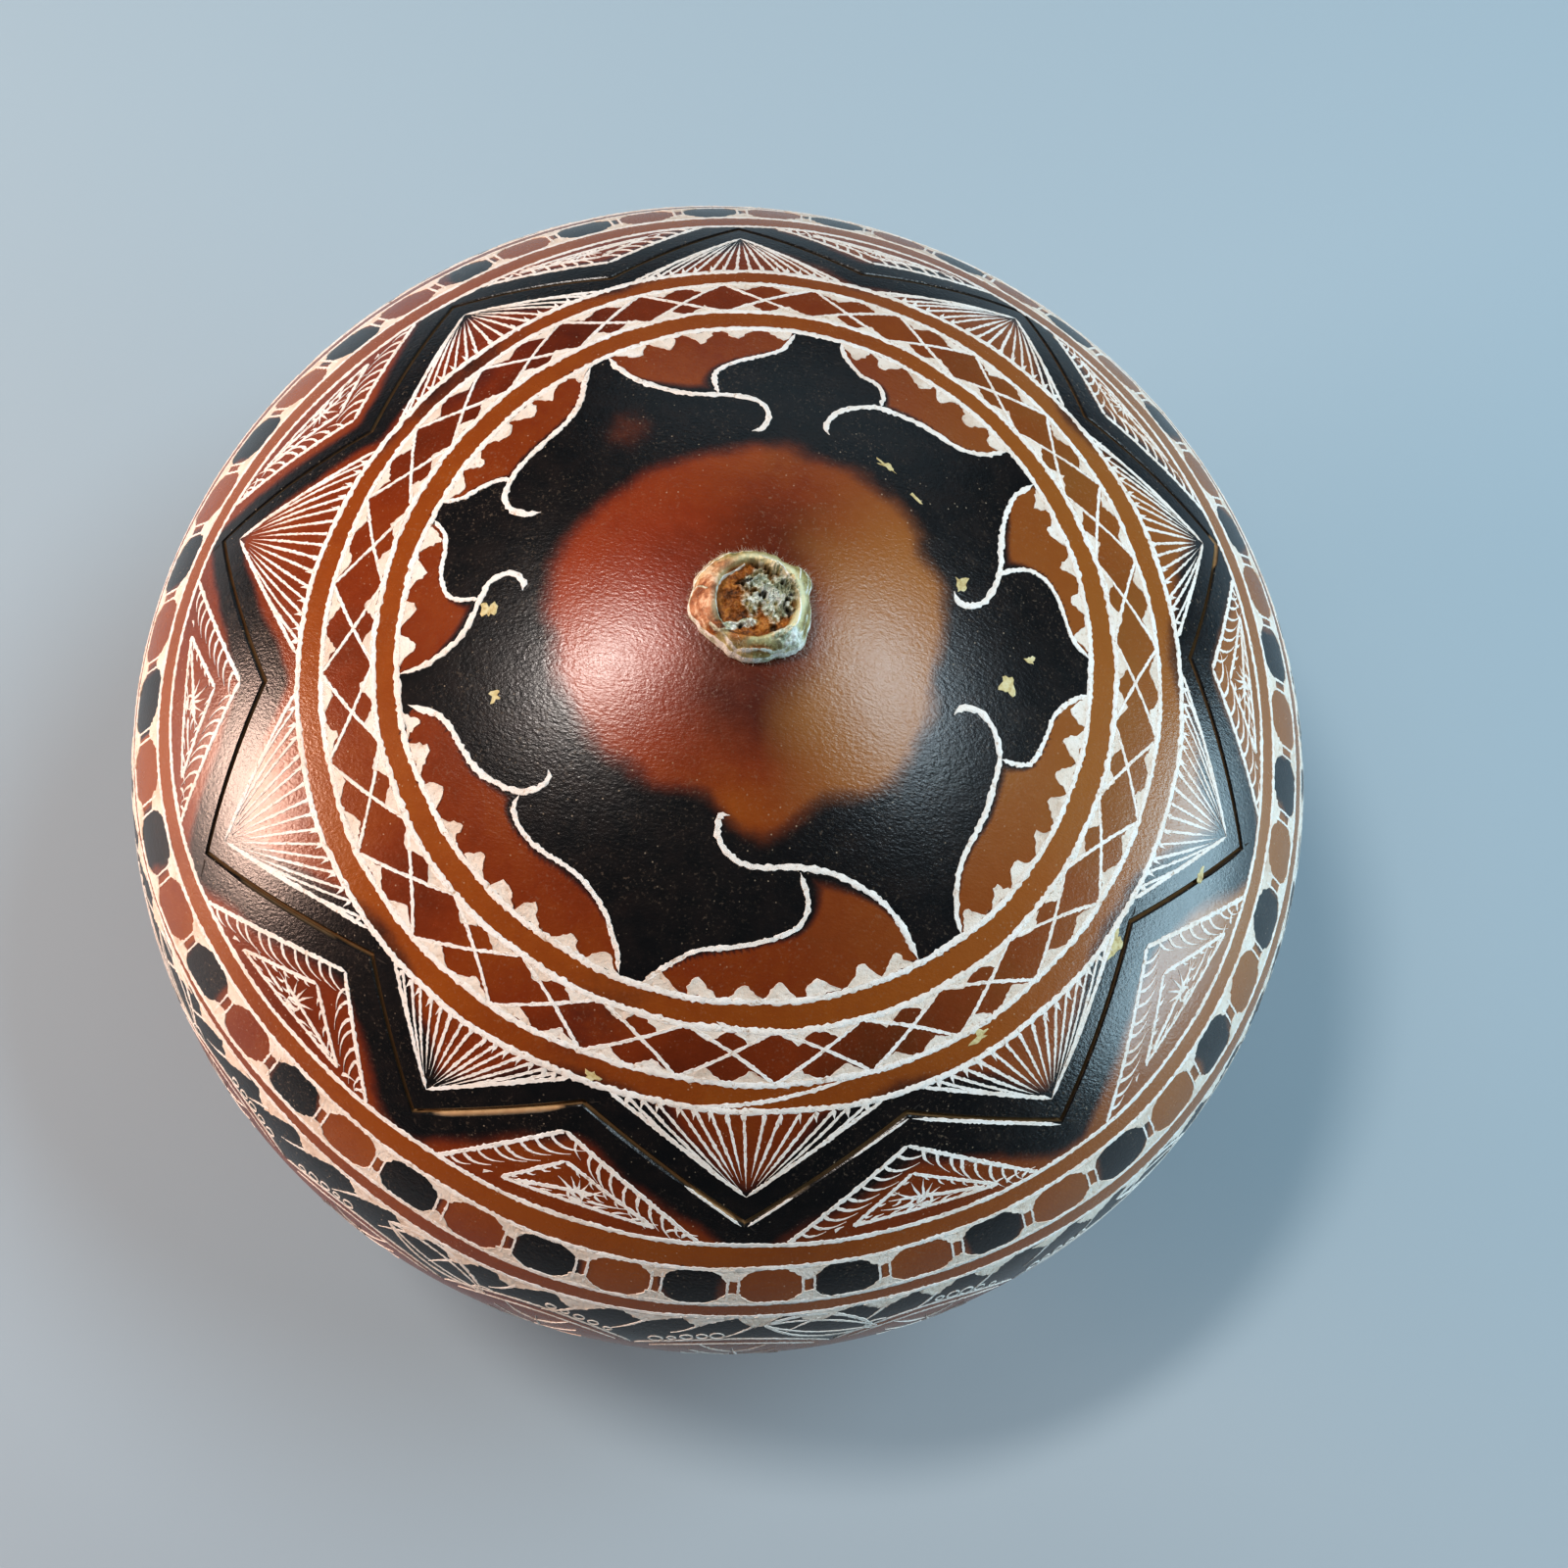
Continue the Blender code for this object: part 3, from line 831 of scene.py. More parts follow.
def carvedPatches(name, outlines, body, material, seed, lift=1.0):
    # each patch is a closed outline on the chart, filled by rings that shrink towards its middle:
    # torn rim, shallow rough floor, and its underside below the skin
    chance = np.random.default_rng(seed)
    verts, faces, base = [], [], 0
    shares = np.array([1.0, 0.95, 0.78, 0.52, 0.26])
    heights = np.array([-1.2, 1.0, 0.62, 0.50, 0.45])
    for outline in outlines:
        loop = np.vstack([outline, outline[:1]]) * gourd["radius"]
        loop = spaced(loop, carving["stepPatch"])[:-1]
        middle = loop.mean(0)
        away = loop - middle
        away = away * (1 + carving["torn"] * chance.normal(size=len(loop)).clip(-1.5, 2)
                       / np.maximum(np.linalg.norm(away, axis=1), 0.0004))[:, None]
        n = len(loop)
        places = middle + shares[:, None, None] * away[None]
        places = np.concatenate([places.reshape(-1, 2), middle[None], middle[None]]) / gourd["radius"]
        high = heights[:, None] * carving["lift"] * lift * np.ones(n)
        high[1:] *= 1 + 0.45 * chance.normal(size=(4, n)).clip(-1.5, 1.8)
        high[1:] = np.maximum(high[1:], 0.000012)
        high = np.concatenate([high.ravel(), [0.4 * carving["lift"] * lift, -0.00012]])
        turn, arc = offChart(places)
        verts.append(onSkin(turn, arc, high))
        i = np.arange(4)[:, None] * n
        j = np.arange(n)[None, :]
        k = (j + 1) % n
        area = np.sum(loop[:, 0] * np.roll(loop[:, 1], -1) - loop[:, 1] * np.roll(loop[:, 0], -1))
        quads = np.stack([i + j, i + k, i + n + k, i + n + j], -1).reshape(-1, 4)
        inner = np.stack([4 * n + j[0], 4 * n + k[0], np.full(n, 5 * n)], -1)
        under = np.stack([k[0], j[0], np.full(n, 5 * n + 1)], -1)
        made = quads.tolist() + inner.tolist() + under.tolist()
        if area < 0:
            made = [face[::-1] for face in made]
        faces += [[corner + base for corner in face] for face in made]
        base += 5 * n + 2
    piece = newPiece(name, np.concatenate(verts), faces, material, body, sharp=60)
    print(name, len(faces), "faces")


def corners(*places):
    return onChart(*np.array(places, float).T)


def straight(a, b, count=6):
    # a straight line on the chart between two places
    ends = onChart(*np.array([a, b], float).T)
    share = np.linspace(0, 1, count)[:, None]
    turn, arc = offChart(ends[0] * (1 - share) + ends[1] * share)
    return np.stack([turn, arc], 1)


def unwound(line):
    # turns that don't jump from 360 to 0 along a line
    line = np.asarray(line, float).copy()
    line[:, 0] = np.degrees(np.unwrap(np.radians(line[:, 0])))
    return line


def onRoundedGourd(line):
    # a line on the chart, as turns and arcs
    return unwound(np.stack(offChart(line), 1))


def bent(a, b, sag, count=8):
    # a line between two places that bows sideways by sag of its own length
    line = onChart(*straight(a, b, count).T)
    way = line[-1] - line[0]
    t = np.linspace(0, 1, count)
    line = line + (4 * sag * t * (1 - t))[:, None] * np.array([-way[1], way[0]])
    return onRoundedGourd(line)


petalCuts = {"side": 0.54, "back": 0.66, "ring": 0.74, "toothEvery": 6.3,
             "toothHalf": (2.3, 3.2), "toothHigh": (0.022, 0.031)}


def waveTooth(middle, half, high, lean):
    # a leaning wave that stands on the crown's inner ring
    foot = ring("crownIn", middle) - 0.003
    wave = [(middle - half, foot), (middle - 0.55 * half + lean, foot - 0.55 * high),
            (middle - 0.15 * half + lean, foot - high), (middle + 0.25 * half + lean, foot - 0.86 * high),
            (middle + 0.50 * half, foot - 0.40 * high), (middle + half, foot)]
    return onChart(*throughPoints(wave, 3).T)


def crownCarving():
    lines = [(throughPoints(petal["side"]), petalCuts["side"], (0.05, 0.05)) for petal in petals]
    lines += [(throughPoints(petal["back"]), petalCuts["back"], (0.04, 0.06)) for petal in petals]
    carvedLines("petalLines", lines, "lid", cutMaterial, 11)
    teeth = []
    chance = np.random.default_rng(12)
    for petal in petals:
        roots = sorted((petal["side"][0][0], petal["back"][-1][0]))
        count = round((roots[1] - roots[0]) / petalCuts["toothEvery"])
        for i in range(count):
            middle = roots[0] + (i + 0.5) * (roots[1] - roots[0]) / count + chance.uniform(-0.5, 0.5)
            half, high = chance.uniform(*petalCuts["toothHalf"]), chance.uniform(*petalCuts["toothHigh"])
            teeth.append(waveTooth(middle, half, high, chance.uniform(-1.1, 0.6)))
    carvedPatches("petalTeeth", teeth, "lid", gougeMaterial, 13)
    lines = [ringStroke(name, petalCuts["ring"]) for name in ("crownIn", "crownOut", "latticeOut", "fanIn")]
    # two slips of the knife beside the rings
    slip = [(30, .655), (24, .664), (18, .675), (11, .686), (4, .693)]
    lines.append((throughPoints(slip), 0.50, (0.3, 0.3)))
    lines.append((throughPoints([(8.6, .562), (10.5, .569), (13, .573)]), 0.40, (0.2, 0.5)))
    carvedLines("crownRings", lines, "lid", cutMaterial, 14)


latticeCuts = {"count": 28, "first": 10.3, "wander": 0.9, "width": 0.40}


def latticeCarving():
    chance = np.random.default_rng(21)
    count, wander, width = latticeCuts["count"], latticeCuts["wander"], latticeCuts["width"]
    middles = latticeCuts["first"] + 360 / count * np.arange(count) + chance.uniform(-wander, wander, count)
    lines, gouges = [], []

    def low(turn):
        return float(ring("crownOut", turn))

    def high(turn):
        return float(ring("latticeOut", turn))

    for i, middle in enumerate(middles):
        before = middles[i - 1] - (360 if i == 0 else 0)
        after = middles[(i + 1) % count] + (360 if i == count - 1 else 0)
        left, right = (before + middle) / 2, (middle + after) / 2
        lines.append((bent((left, low(left)), (right, high(right)), 0.02), width, (0.05, 0.05)))
        lines.append((bent((left, high(left)), (right, low(right)), -0.02), width, (0.05, 0.05)))
        heart = (low(middle) + high(middle)) / 2
        for edge, sign in ((low, 1), (high, -1)):
            for far in (left, right):
                near = middle + 0.08 * (far - middle)
                gouges.append(corners(
                    (middle + 0.93 * (far - middle), edge(far) + 0.003 * sign),
                    (near, edge(near) + 0.003 * sign),
                    (middle + 0.26 * (far - middle), edge(middle) * 0.72 + heart * 0.28),
                    (middle + 0.47 * (far - middle), edge(middle) * 0.47 + heart * 0.53)))
    carvedLines("latticeLines", lines, "lid", cutMaterial, 22)
    carvedPatches("latticeGouges", gouges, "lid", gougeMaterial, 23)


fanCuts = {"rays": 15, "ray": (0.29, 0.38), "side": 0.46, "fromNotch": 2.6, "fromPoint": 0.048}


def fanCarving():
    chance = np.random.default_rng(31)
    lines = []

    def top(turn, below=0.0):
        return turn, float(ring("fanIn", turn)) + 0.004 + below

    for i, point in enumerate(points):
        before = notches[i - 1] - (360 if i == 0 else 0)
        left, right = before + fanCuts["fromNotch"], notches[i] - fanCuts["fromNotch"]
        apex = (point, pointArcs[i] - fanCuts["fromPoint"])
        for end in (left, right):
            lines.append((unwound(straight(apex, top(end), 12)), fanCuts["side"], (0.06, 0.03)))
        for k in range(1, fanCuts["rays"] + 1):
            share = k / (fanCuts["rays"] + 1)
            turn = left + (right - left) * share + chance.uniform(-0.25, 0.25)
            reach = 26 - 2 * (k % 2) - chance.integers(0, 3)
            width = chance.uniform(*fanCuts["ray"])
            ray = bent(top(turn), apex, 0.03 * (2 * share - 1), 29)[:reach]
            lines.append((ray, width, (0.02, 0.45)))
            foot = straight(top(turn, -0.002), top(turn, 0.016), 4)
            lines.append((unwound(foot), 1.8 * width, (0.02, 0.85)))
    carvedLines("fanLines", lines, "lid", cutMaterial, 32)


def featherStrokes(start, end, inwards, spacing, length, chance, towards=None, sweep=0.8):
    # curved cuts that leave a line at even steps, run inwards and bend along it; the last third
    # turns to a point near the line's end, as a palm leaf does
    way = end - start
    size = np.linalg.norm(way)
    way = way / size
    inward = np.array([-way[1], way[0]])
    inward = inward if inward @ (inwards - start) > 0 else -inward
    strokes = []
    count = max(2, round(size / spacing))
    t = np.linspace(0, 1, 8)[:, None]
    for k in range(1, count):
        share = (k + chance.uniform(-0.14, 0.14)) / count
        foot = start + way * size * share
        long = length * chance.uniform(0.82, 1.12) * min(1, 0.45 + 2.2 * share)
        line = foot + inward * long * (0.95 * t - 0.34 * t**2) + way * long * sweep * (0.12 * t + 0.88 * t**2)
        if towards is not None and share > 0.6:
            pull = min(1.0, (share - 0.6) / 0.3)
            aimed = foot + (towards - foot) * 0.86 * t + inward * 0.10 * long * np.sin(math.pi * t)
            line = line * (1 - pull) + aimed * pull
        strokes.append((onRoundedGourd(line), chance.uniform(0.34, 0.42), (0.01, 0.85)))
    return strokes


def towardsEdge(start, way, outline):
    # how far it is from a place, along a way, to the outline round it
    found = []
    for a, b in zip(outline, np.roll(outline, -1, axis=0)):
        sides = np.array([way, a - b]).T
        if abs(np.linalg.det(sides)) > 1e-9:
            far, share = np.linalg.solve(sides, a - start)
            if far > 0 and 0 <= share <= 1:
                found.append(far)
    return min(found)


def palmette(heart, tip, outline, flip, chance):
    # curved cuts that spread from a heart like a palm's leaves, longest towards its tip
    strokes = []
    lead = math.atan2(*(tip - heart)[::-1])
    for k in range(11):
        turn = math.radians(-140 + 28 * k) + chance.uniform(-0.05, 0.05)
        way = np.array([math.cos(lead + turn), math.sin(lead + turn)])
        long = towardsEdge(heart, way, outline) * (0.76 + 0.10 * math.cos(turn))
        t = np.linspace(0.24, 1, 8)[:, None]
        line = heart + way * long * t + 0.20 * flip * long * t**2 * np.array([-way[1], way[0]])
        strokes.append((onRoundedGourd(line), chance.uniform(0.30, 0.36), (0.02, 0.8)))
    return strokes


kiteCuts = {"edge": 0.54, "inner": (0.46, 0.46, 0.40), "arch": 0.46, "bud": 0.36, "budSize": (0.0085, 0.0125)}
# stretches of the star where the knife left a white line of its own: corners, from share, to share, width
whiteLines = [(1, 2, 0.02, 0.98, 0.40), (0, 1, 0.66, 1.0, 0.26),
              (0, 1, 0.02, 0.30, 0.26), (19, 0, 0.62, 0.98, 0.26)]


def kiteFeathers(top, low, high, heart, inner, chance):
    # feathers on both outer sides sweep the same way round the gourd
    inTop, inLow, inHigh = inner
    sides = [(low, top, heart, 0.0250, 0.058, None, 0.75),
             (top, high, heart, 0.0245, 0.058, high * 0.86 + heart * 0.14, 0.75),
             (inLow, inTop, heart, 0.024, 0.015, None, 0.8),
             (inTop, inHigh, heart, 0.024, 0.016, None, 0.8),
             (low + (high - low) * 0.12, high, heart, 0.030, 0.020, None, 1.2)]
    strokes = []
    for start, end, inwards, spacing, length, towards, sweep in sides:
        strokes += featherStrokes(start, end, inwards, spacing, length, chance, towards, sweep)
    return strokes


def kiteLeaf(i, top, low, high, heart, inner, chance, leafChance):
    # a leaf that arches over from the inner triangle's near corner, and a bud with cuts round it
    inTop, inLow, inHigh = inner
    middle = (inTop + inLow + inHigh) / 3
    flip = 1 if i % 2 else -1
    near, far = (inLow, inHigh) if flip > 0 else (inHigh, inLow)
    t = np.linspace(0, 1, 14)[:, None]
    bend, last = middle * 1.25 - near * 0.25, inTop * 0.45 + far * 0.55
    arch = near * (1 - t) ** 2 + 2 * bend * t * (1 - t) + last * t**2
    strokes = [(onRoundedGourd(arch[1:-2]), kiteCuts["arch"], (0.05, 0.3))]
    strokes += featherStrokes(arch[5], arch[11], far, 0.020, 0.018, chance, None, 0.9)
    turn = np.linspace(0.3, 2 * math.pi + 0.3, 20)
    bud = middle * 0.55 + (inLow + inHigh) * 0.225
    out, along = (heart - top), (high - low)
    out, along = out / np.linalg.norm(out), along / np.linalg.norm(along)
    deep, wide = kiteCuts["budSize"]
    loop = bud + np.outer(deep * np.sin(turn), out) + np.outer(wide * np.cos(turn) * flip, along)
    strokes.append((onRoundedGourd(loop), kiteCuts["bud"], (0.02, 0.02)))
    return strokes + palmette(bud, far, np.array([inTop, inLow, inHigh]), flip, leafChance)


def kiteCarving():
    chance, leafChance = np.random.default_rng(41), np.random.default_rng(44)
    outlines, feathers = [], []
    for i, notch in enumerate(notches):
        left, right = points[i], points[(i + 1) % len(points)] + (360 if i == len(points) - 1 else 0)

        def foot(turn, rise=0.002):
            return turn, float(ring("kiteOut", turn)) - rise

        tip = (notch - 0.8, notchArcs[i] + 0.052)
        top, low, high = onChart(*np.array([tip, foot(left + 4.4), foot(right - 4.4)]).T)
        for corner in (low, high):
            outlines.append((onRoundedGourd(np.linspace(top, corner, 16)), kiteCuts["edge"], (0.02, 0.02)))
        heart = (top + low + high) / 3
        # the inner triangle stands off both sides by a feather and lies close to the ring
        inTop = top + (heart - top) * 0.62
        inLow = low + (high - low) * 0.20 + (heart - low) * 0.10
        inHigh = high + (low - high) * 0.13 + (heart - high) * 0.08
        sides = ((inTop, inLow), (inTop, inHigh), (inLow, inHigh))
        for (a, b), width in zip(sides, kiteCuts["inner"]):
            outlines.append((onRoundedGourd(np.linspace(a, b, 12)), width, (0.02, 0.02)))
        kite = (top, low, high, heart, (inTop, inLow, inHigh), chance)
        feathers += kiteFeathers(*kite)
        feathers += kiteLeaf(i, *kite, leafChance)
    for first, last, a, b, width in whiteLines:
        start, end = starOnChart[first], starOnChart[last]
        share = np.linspace(a, b, 14)[:, None]
        line = start * (1 - share) + end * share
        line = line * (1 + 0.0085 / np.linalg.norm(line, axis=1))[:, None]
        outlines.append((onRoundedGourd(line), width, (0.1, 0.1)))
    carvedLines("kiteOutlines", outlines, "bowl", cutMaterial, 42)
    carvedLines("kiteFeathers", feathers, "bowl", cutMaterial, 43)


ovalCuts = {"bar": 0.30, "apart": 0.52, "half": (2.1, 2.7), "deep": (0.26, 0.34), "ring": 0.62}


def ovalCarving():
    chance = np.random.default_rng(51)
    bars, gouges = [], []
    for bar in ovalBars:
        inner, outer = float(ring("ovalIn", bar)), float(ring("ovalOut", bar))
        tall = outer - inner
        for side in (-ovalCuts["apart"], ovalCuts["apart"]):
            turn = bar + side + chance.uniform(-0.06, 0.06)
            line = [(turn, inner + 0.16 * tall), (turn + 0.05, inner + 0.5 * tall),
                    (turn, inner + 0.86 * tall)]
            bars.append((throughPoints(line, 4), ovalCuts["bar"], (0.08, 0.08)))
        for edge, sign in (("ovalIn", 1), ("ovalOut", -1)):
            half = chance.uniform(*ovalCuts["half"])
            deep = chance.uniform(*ovalCuts["deep"]) * tall

            def rim(turn):
                return float(ring(edge, turn)) + 0.002 * sign

            middle, shoulder = rim(bar) + deep * sign, rim(bar) + 0.38 * deep * sign
            gouges.append(corners((bar - half, rim(bar - half)), (bar, rim(bar)),
                                  (bar + half, rim(bar + half)),
                                  (bar + 0.56 * half, shoulder), (bar + 0.24 * half, middle),
                                  (bar - 0.24 * half, middle), (bar - 0.56 * half, shoulder)))
    carvedLines("ovalBars", bars, "bowl", cutMaterial, 52)
    carvedPatches("ovalGouges", gouges, "bowl", gougeMaterial, 53)
    names = ("kiteOut", "ovalIn", "ovalOut", "friezeIn", "friezeOut", "footIn")
    carvedLines("bowlRings", [ringStroke(name, ovalCuts["ring"]) for name in names], "bowl", cutMaterial, 54)


friezeCuts = {
    "scallops": 64, "scallopHalf": (2.2, 2.9), "scallopDeep": (0.024, 0.038), "scallopLine": 0.34,
    "arch": 0.34, "innerArch": 0.26, "between": 0.020, "chain": 0.24, "loop": (0.60, 1.05),
    # how far each edge of a long leaf bends, and its width
    "leaf": ((0.20, 0.46), (0.11, 0.30), (-0.16, 0.40), (-0.08, 0.26)), "curl": 0.28,
    "stalk": 0.44, "fern": 0.40, "fernPairs": 8, "feet": 120, "foot": 0.40,
}


def friezeScallops(chance):
    # a gouged scallop hangs from the ring, and a curved stroke leans away below it
    strokes, gouges = [], []
    for i in range(friezeCuts["scallops"]):
        turn = 360 / friezeCuts["scallops"] * (i + chance.uniform(-0.12, 0.12))
        top = float(ring("friezeIn", turn)) + 0.002
        half, deep = chance.uniform(*friezeCuts["scallopHalf"]), chance.uniform(*friezeCuts["scallopDeep"])
        gouges.append(corners((turn - half, top), (turn + half, top), (turn + 0.35 * half, top + 0.45 * deep),
                              (turn - 0.25 * half, top + deep), (turn - 0.65 * half, top + 0.6 * deep)))
        start = (turn - 0.3, top + 0.6 * deep)
        stop = (turn - chance.uniform(2.6, 3.8), top + chance.uniform(0.055, 0.075))
        line = bent(start, stop, chance.uniform(-0.05, 0.10))
        strokes.append((line, friezeCuts["scallopLine"], (0.02, 0.7)))
    return strokes, gouges


def hillStarts():
    # each hill's number, where it starts, and how wide it is, in degrees
    wide = 360 / hills["count"]
    return [(k, hills["first"] + k * wide, wide) for k in range(hills["count"])]


def friezeArches(chance):
    strokes = []
    for k, first, wide in hillStarts():
        turn = first + wide * np.linspace(0.01, 0.99, 40)
        arch = hillTop(turn)
        inner = np.stack([turn[3:-3], arch[3:-3] + friezeCuts["between"]], 1)
        strokes.append((np.stack([turn, arch], 1), friezeCuts["arch"], (0.04, 0.04)))
        strokes.append((inner, friezeCuts["innerArch"], (0.1, 0.1)))
        # a chain of little loops along one shoulder of the hill
        side = 22 if k % 2 else 4
        for n in range(side, side + 13, 3):
            spin = np.linspace(0, 2 * math.pi + 0.6, 13)
            size = chance.uniform(*friezeCuts["loop"])
            loop = (turn[n] + 0.62 * size * np.cos(spin), arch[n] - 0.0135 + 0.0098 * size * np.sin(spin))
            strokes.append((np.stack(loop, 1), friezeCuts["chain"], (0.02, 0.02)))
    return strokes


def friezeLeaves():
    # a long leaf with a double edge, bent over every other valley, and its curl
    strokes = []
    for k, first, wide in hillStarts():
        if k % 2:
            tip = (first - 0.36 * wide, ring("friezeIn", first - 4) + 0.030)
            root = (first + 0.22 * wide, ring("friezeIn", first + 4) + 0.088)
            for sag, width in friezeCuts["leaf"]:
                strokes.append((bent(tip, root, sag, 12), width, (0.05, 0.2)))
            spin = np.linspace(0.2, 5.4, 16)
            curl = (root[0] + 0.30 * spin * np.cos(spin), root[1] + 0.0044 * spin * np.sin(spin))
            strokes.append((np.stack(curl, 1), friezeCuts["curl"], (0.1, 0.3)))
    return strokes


def friezeFerns():
    # fern leaves on the brown of each hill, in pairs up a stalk
    strokes = []
    pairs = friezeCuts["fernPairs"]
    for _, first, wide in hillStarts():
        middle = first + wide / 2
        crest, end = float(hillTop(np.array([middle]))[0]), float(ring("friezeOut", middle))
        stalk = [(middle + 0.8, end - 0.01), (middle - 0.8, end - 0.12), (middle + 0.6, end - 0.22),
                 (middle, crest + 0.045)]
        strokes.append((throughPoints(stalk), friezeCuts["stalk"], (0.02, 0.3)))
        for n in range(pairs):
            share = (n + 0.5) / pairs
            root = end + (crest + 0.05 - end) * share
            for way in (-1, 1):
                reach = wide * 0.36 * (1 - 0.55 * share**1.5)
                leaf = [(middle, root), (middle + way * reach * 0.5, root - 0.014),
                        (middle + way * reach, root - 0.046)]
                strokes.append((throughPoints(leaf), friezeCuts["fern"], (0.02, 0.75)))
    return strokes


def friezeFeet(chance):
    # small strokes stand on the frieze's lower line
    strokes = []
    for i in range(friezeCuts["feet"]):
        turn = 360 / friezeCuts["feet"] * i + chance.uniform(-0.3, 0.3)
        end = float(ring("friezeOut", turn))
        line = bent((turn, end), (turn + 1.6, end - chance.uniform(0.030, 0.048)), 0.12)
        strokes.append((line, friezeCuts["foot"], (0.02, 0.7)))
    return strokes


def friezeCarving():
    # the scallops, arches and feet draw from one chance, in this order
    chance = np.random.default_rng(61)
    strokes, gouges = friezeScallops(chance)
    arches = friezeArches(chance)
    strokes += friezeFeet(chance)
    carvedLines("friezeStrokes", strokes, "bowl", cutMaterial, 62)
    carvedLines("friezeArches", arches, "bowl", cutMaterial, 64)
    carvedLines("friezeLeaves", friezeLeaves(), "bowl", cutMaterial, 65)
    carvedLines("friezeFerns", friezeFerns(), "bowl", cutMaterial, 66)
    carvedPatches("friezeGouges", gouges, "bowl", gougeMaterial, 63)


# places where the dark skin has flaked: turn, arc, half width in degrees, half height in arc
chips = {
    "lid": [(93.3, .376, 2.3, .013), (100.6, .409, .9, .008), (118.8, .311, 2.0, .010),
            (157.2, .332, 3.0, .006), (145.6, .322, 2.4, .004), (279.0, .385, 1.8, .011),
            (298.4, .384, 1.4, .009), (66.2, .716, 2.0, .013), (353.8, .682, 1.0, .008),
            (44.6, .677, 1.5, .009)],
    "bowl": [(80.6, .812, 1.0, .008)],
}
# the star's corners that the knife ran past, and by how much: width in mm, then (corner, length); these slits
# are painted near black as painted shade
nicks = {
    "lid": (0.26, [(1, .020), (3, .016), (7, .018), (15, .022), (17, .020), (19, .018)]),
    "bowl": (0.30, [(2, .030), (4, .016), (6, .020), (14, .018), (16, .034), (18, .014), (0, .014)]),
}


def chipsAndNicks():
    chance = np.random.default_rng(71)
    for body, name in (("lid", "crownChips"), ("bowl", "bowlChip")):
        found = []
        for turn, arc, wide, high in chips[body]:
            way = np.linspace(0, 2 * math.pi, 15, endpoint=False)
            size = 1 + 0.42 * chance.normal(size=15).clip(-1.2, 1.4)
            found.append(onChart(turn + wide * size * np.cos(way), arc + high * size * np.sin(way)))
        carvedPatches(name, found, body, chipMaterial, 72, lift=0.35)
    for body, name, seed in (("lid", "lidNicks", 73), ("bowl", "bowlNicks", 74)):
        width, places = nicks[body]
        lines = []
        for corner, stretch in places:
            here, last = starOnChart[corner], starOnChart[corner - 1]
            way = (here - last) / np.linalg.norm(here - last)
            line = np.linspace(here + 0.010 * way, here + (0.010 + stretch) * way, 6)
            lines.append((onRoundedGourd(line), width, (0.1, 0.8)))
        carvedLines(name, lines, body, slitShadeMaterial, seed, lift=0.4)


crownCarving()
latticeCarving()
fanCarving()
kiteCarving()
ovalCarving()
friezeCarving()
chipsAndNicks()
print("carving done")

# -- stem stub

# the cut stalk: a papery skirt up to an oval ridge, and a crusted hollow inside it; places on it are
# (right, forward) in mm from its middle, as seen by someone who faces it turned by lean
stem = {
    "centre": (-0.0011, 0.0011), "lean": 14.3, "columns": 300, "topRows": 110, "edgeRows": 3,
    "ridge": {"middle": (0.40, -0.29), "reach": (4.13, 4.00), "high": 3.30}, "hollow": 1.10,
    # how far the foot reaches, every 15 degrees from the right, round by the back
    "foot": [5.5, 5.8, 6.2, 5.4, 5.3, 5.25, 5.2, 5.35, 5.6, 5.5, 5.6, 5.4,
             5.6, 5.4, 5.05, 4.85, 4.9, 5.2, 5.4, 5.45, 5.6, 6.1, 5.95, 5.75],
    # thin papery edges that stand up from the skirt and the ridge
    "edges": [
        [(-5.4, 0.6), (-4.9, 1.3), (-4.1, 0.5)],
        [(-5.2, 1.6), (-4.4, 2.7), (-3.0, 3.8), (-1.4, 4.5), (0.2, 4.6)],
        [(-2.7, -2.4), (-3.2, -1.0), (-3.1, 0.6), (-2.3, 2.0), (-0.6, 3.1)],
        [(0.9, 3.6), (2.6, 2.7), (3.8, 1.1), (4.3, -0.7), (4.0, -2.6), (2.8, -3.9)],
        [(4.4, 3.1), (5.1, 2.5), (5.2, 1.5), (4.9, 0.4)], [(4.5, 2.9), (4.3, 1.6)],
        [(3.0, -4.4), (4.4, -3.4), (5.0, -1.6)], [(-3.8, -2.5), (-3.0, -3.3), (-2.0, -3.2)],
        [(-2.8, -3.4), (-1.4, -4.7), (0.8, -4.9), (2.6, -4.7), (4.0, -4.0)],
    ],
    # soft bumps: middle, reach and how square their sides are
    "bumps": {
        "crust": ((1.55, 0.30), (2.55, 2.75), 4.0), "patch": ((3.3, -3.7), (1.7, 0.9), 3.0),
        "crumb": ((-0.4, -2.4), (0.85, 0.45), 3.0), "leftCrumb": ((-2.0, -2.7), (0.75, 0.5), 3.0),
        "pouch": ((-4.0, -0.5), (1.15, 1.9), 3.0), "tongue": ((-3.55, -1.2), (0.55, 0.95), 2.6),
        "amber": ((-1.1, -3.75), (1.25, 0.75), 3.0), "berry": ((-3.2, -2.9), (1.0, 0.55), 2.6),
        "rust": ((0.8, -4.8), (1.7, 0.3), 2.0), "peach": ((-4.0, -0.4), (1.6, 2.3), 3.0),
        "backPeach": ((-2.6, 2.9), (2.3, 1.2), 2.0),
    },
}
stalkFibres = {"count": 420, "long": (0.15, 0.65), "thick": 0.016}


def onStalk(x, y, z):
    # a place on the stalk in mm, turned and moved to where the stalk stands
    lean, centre = math.radians(stem["lean"]), stem["centre"]
    along = (x * math.cos(lean) - y * math.sin(lean)) * mm + centre[0]
    ahead = (x * math.sin(lean) + y * math.cos(lean)) * mm + centre[1]
    return np.stack([along, ahead, z * mm], -1)


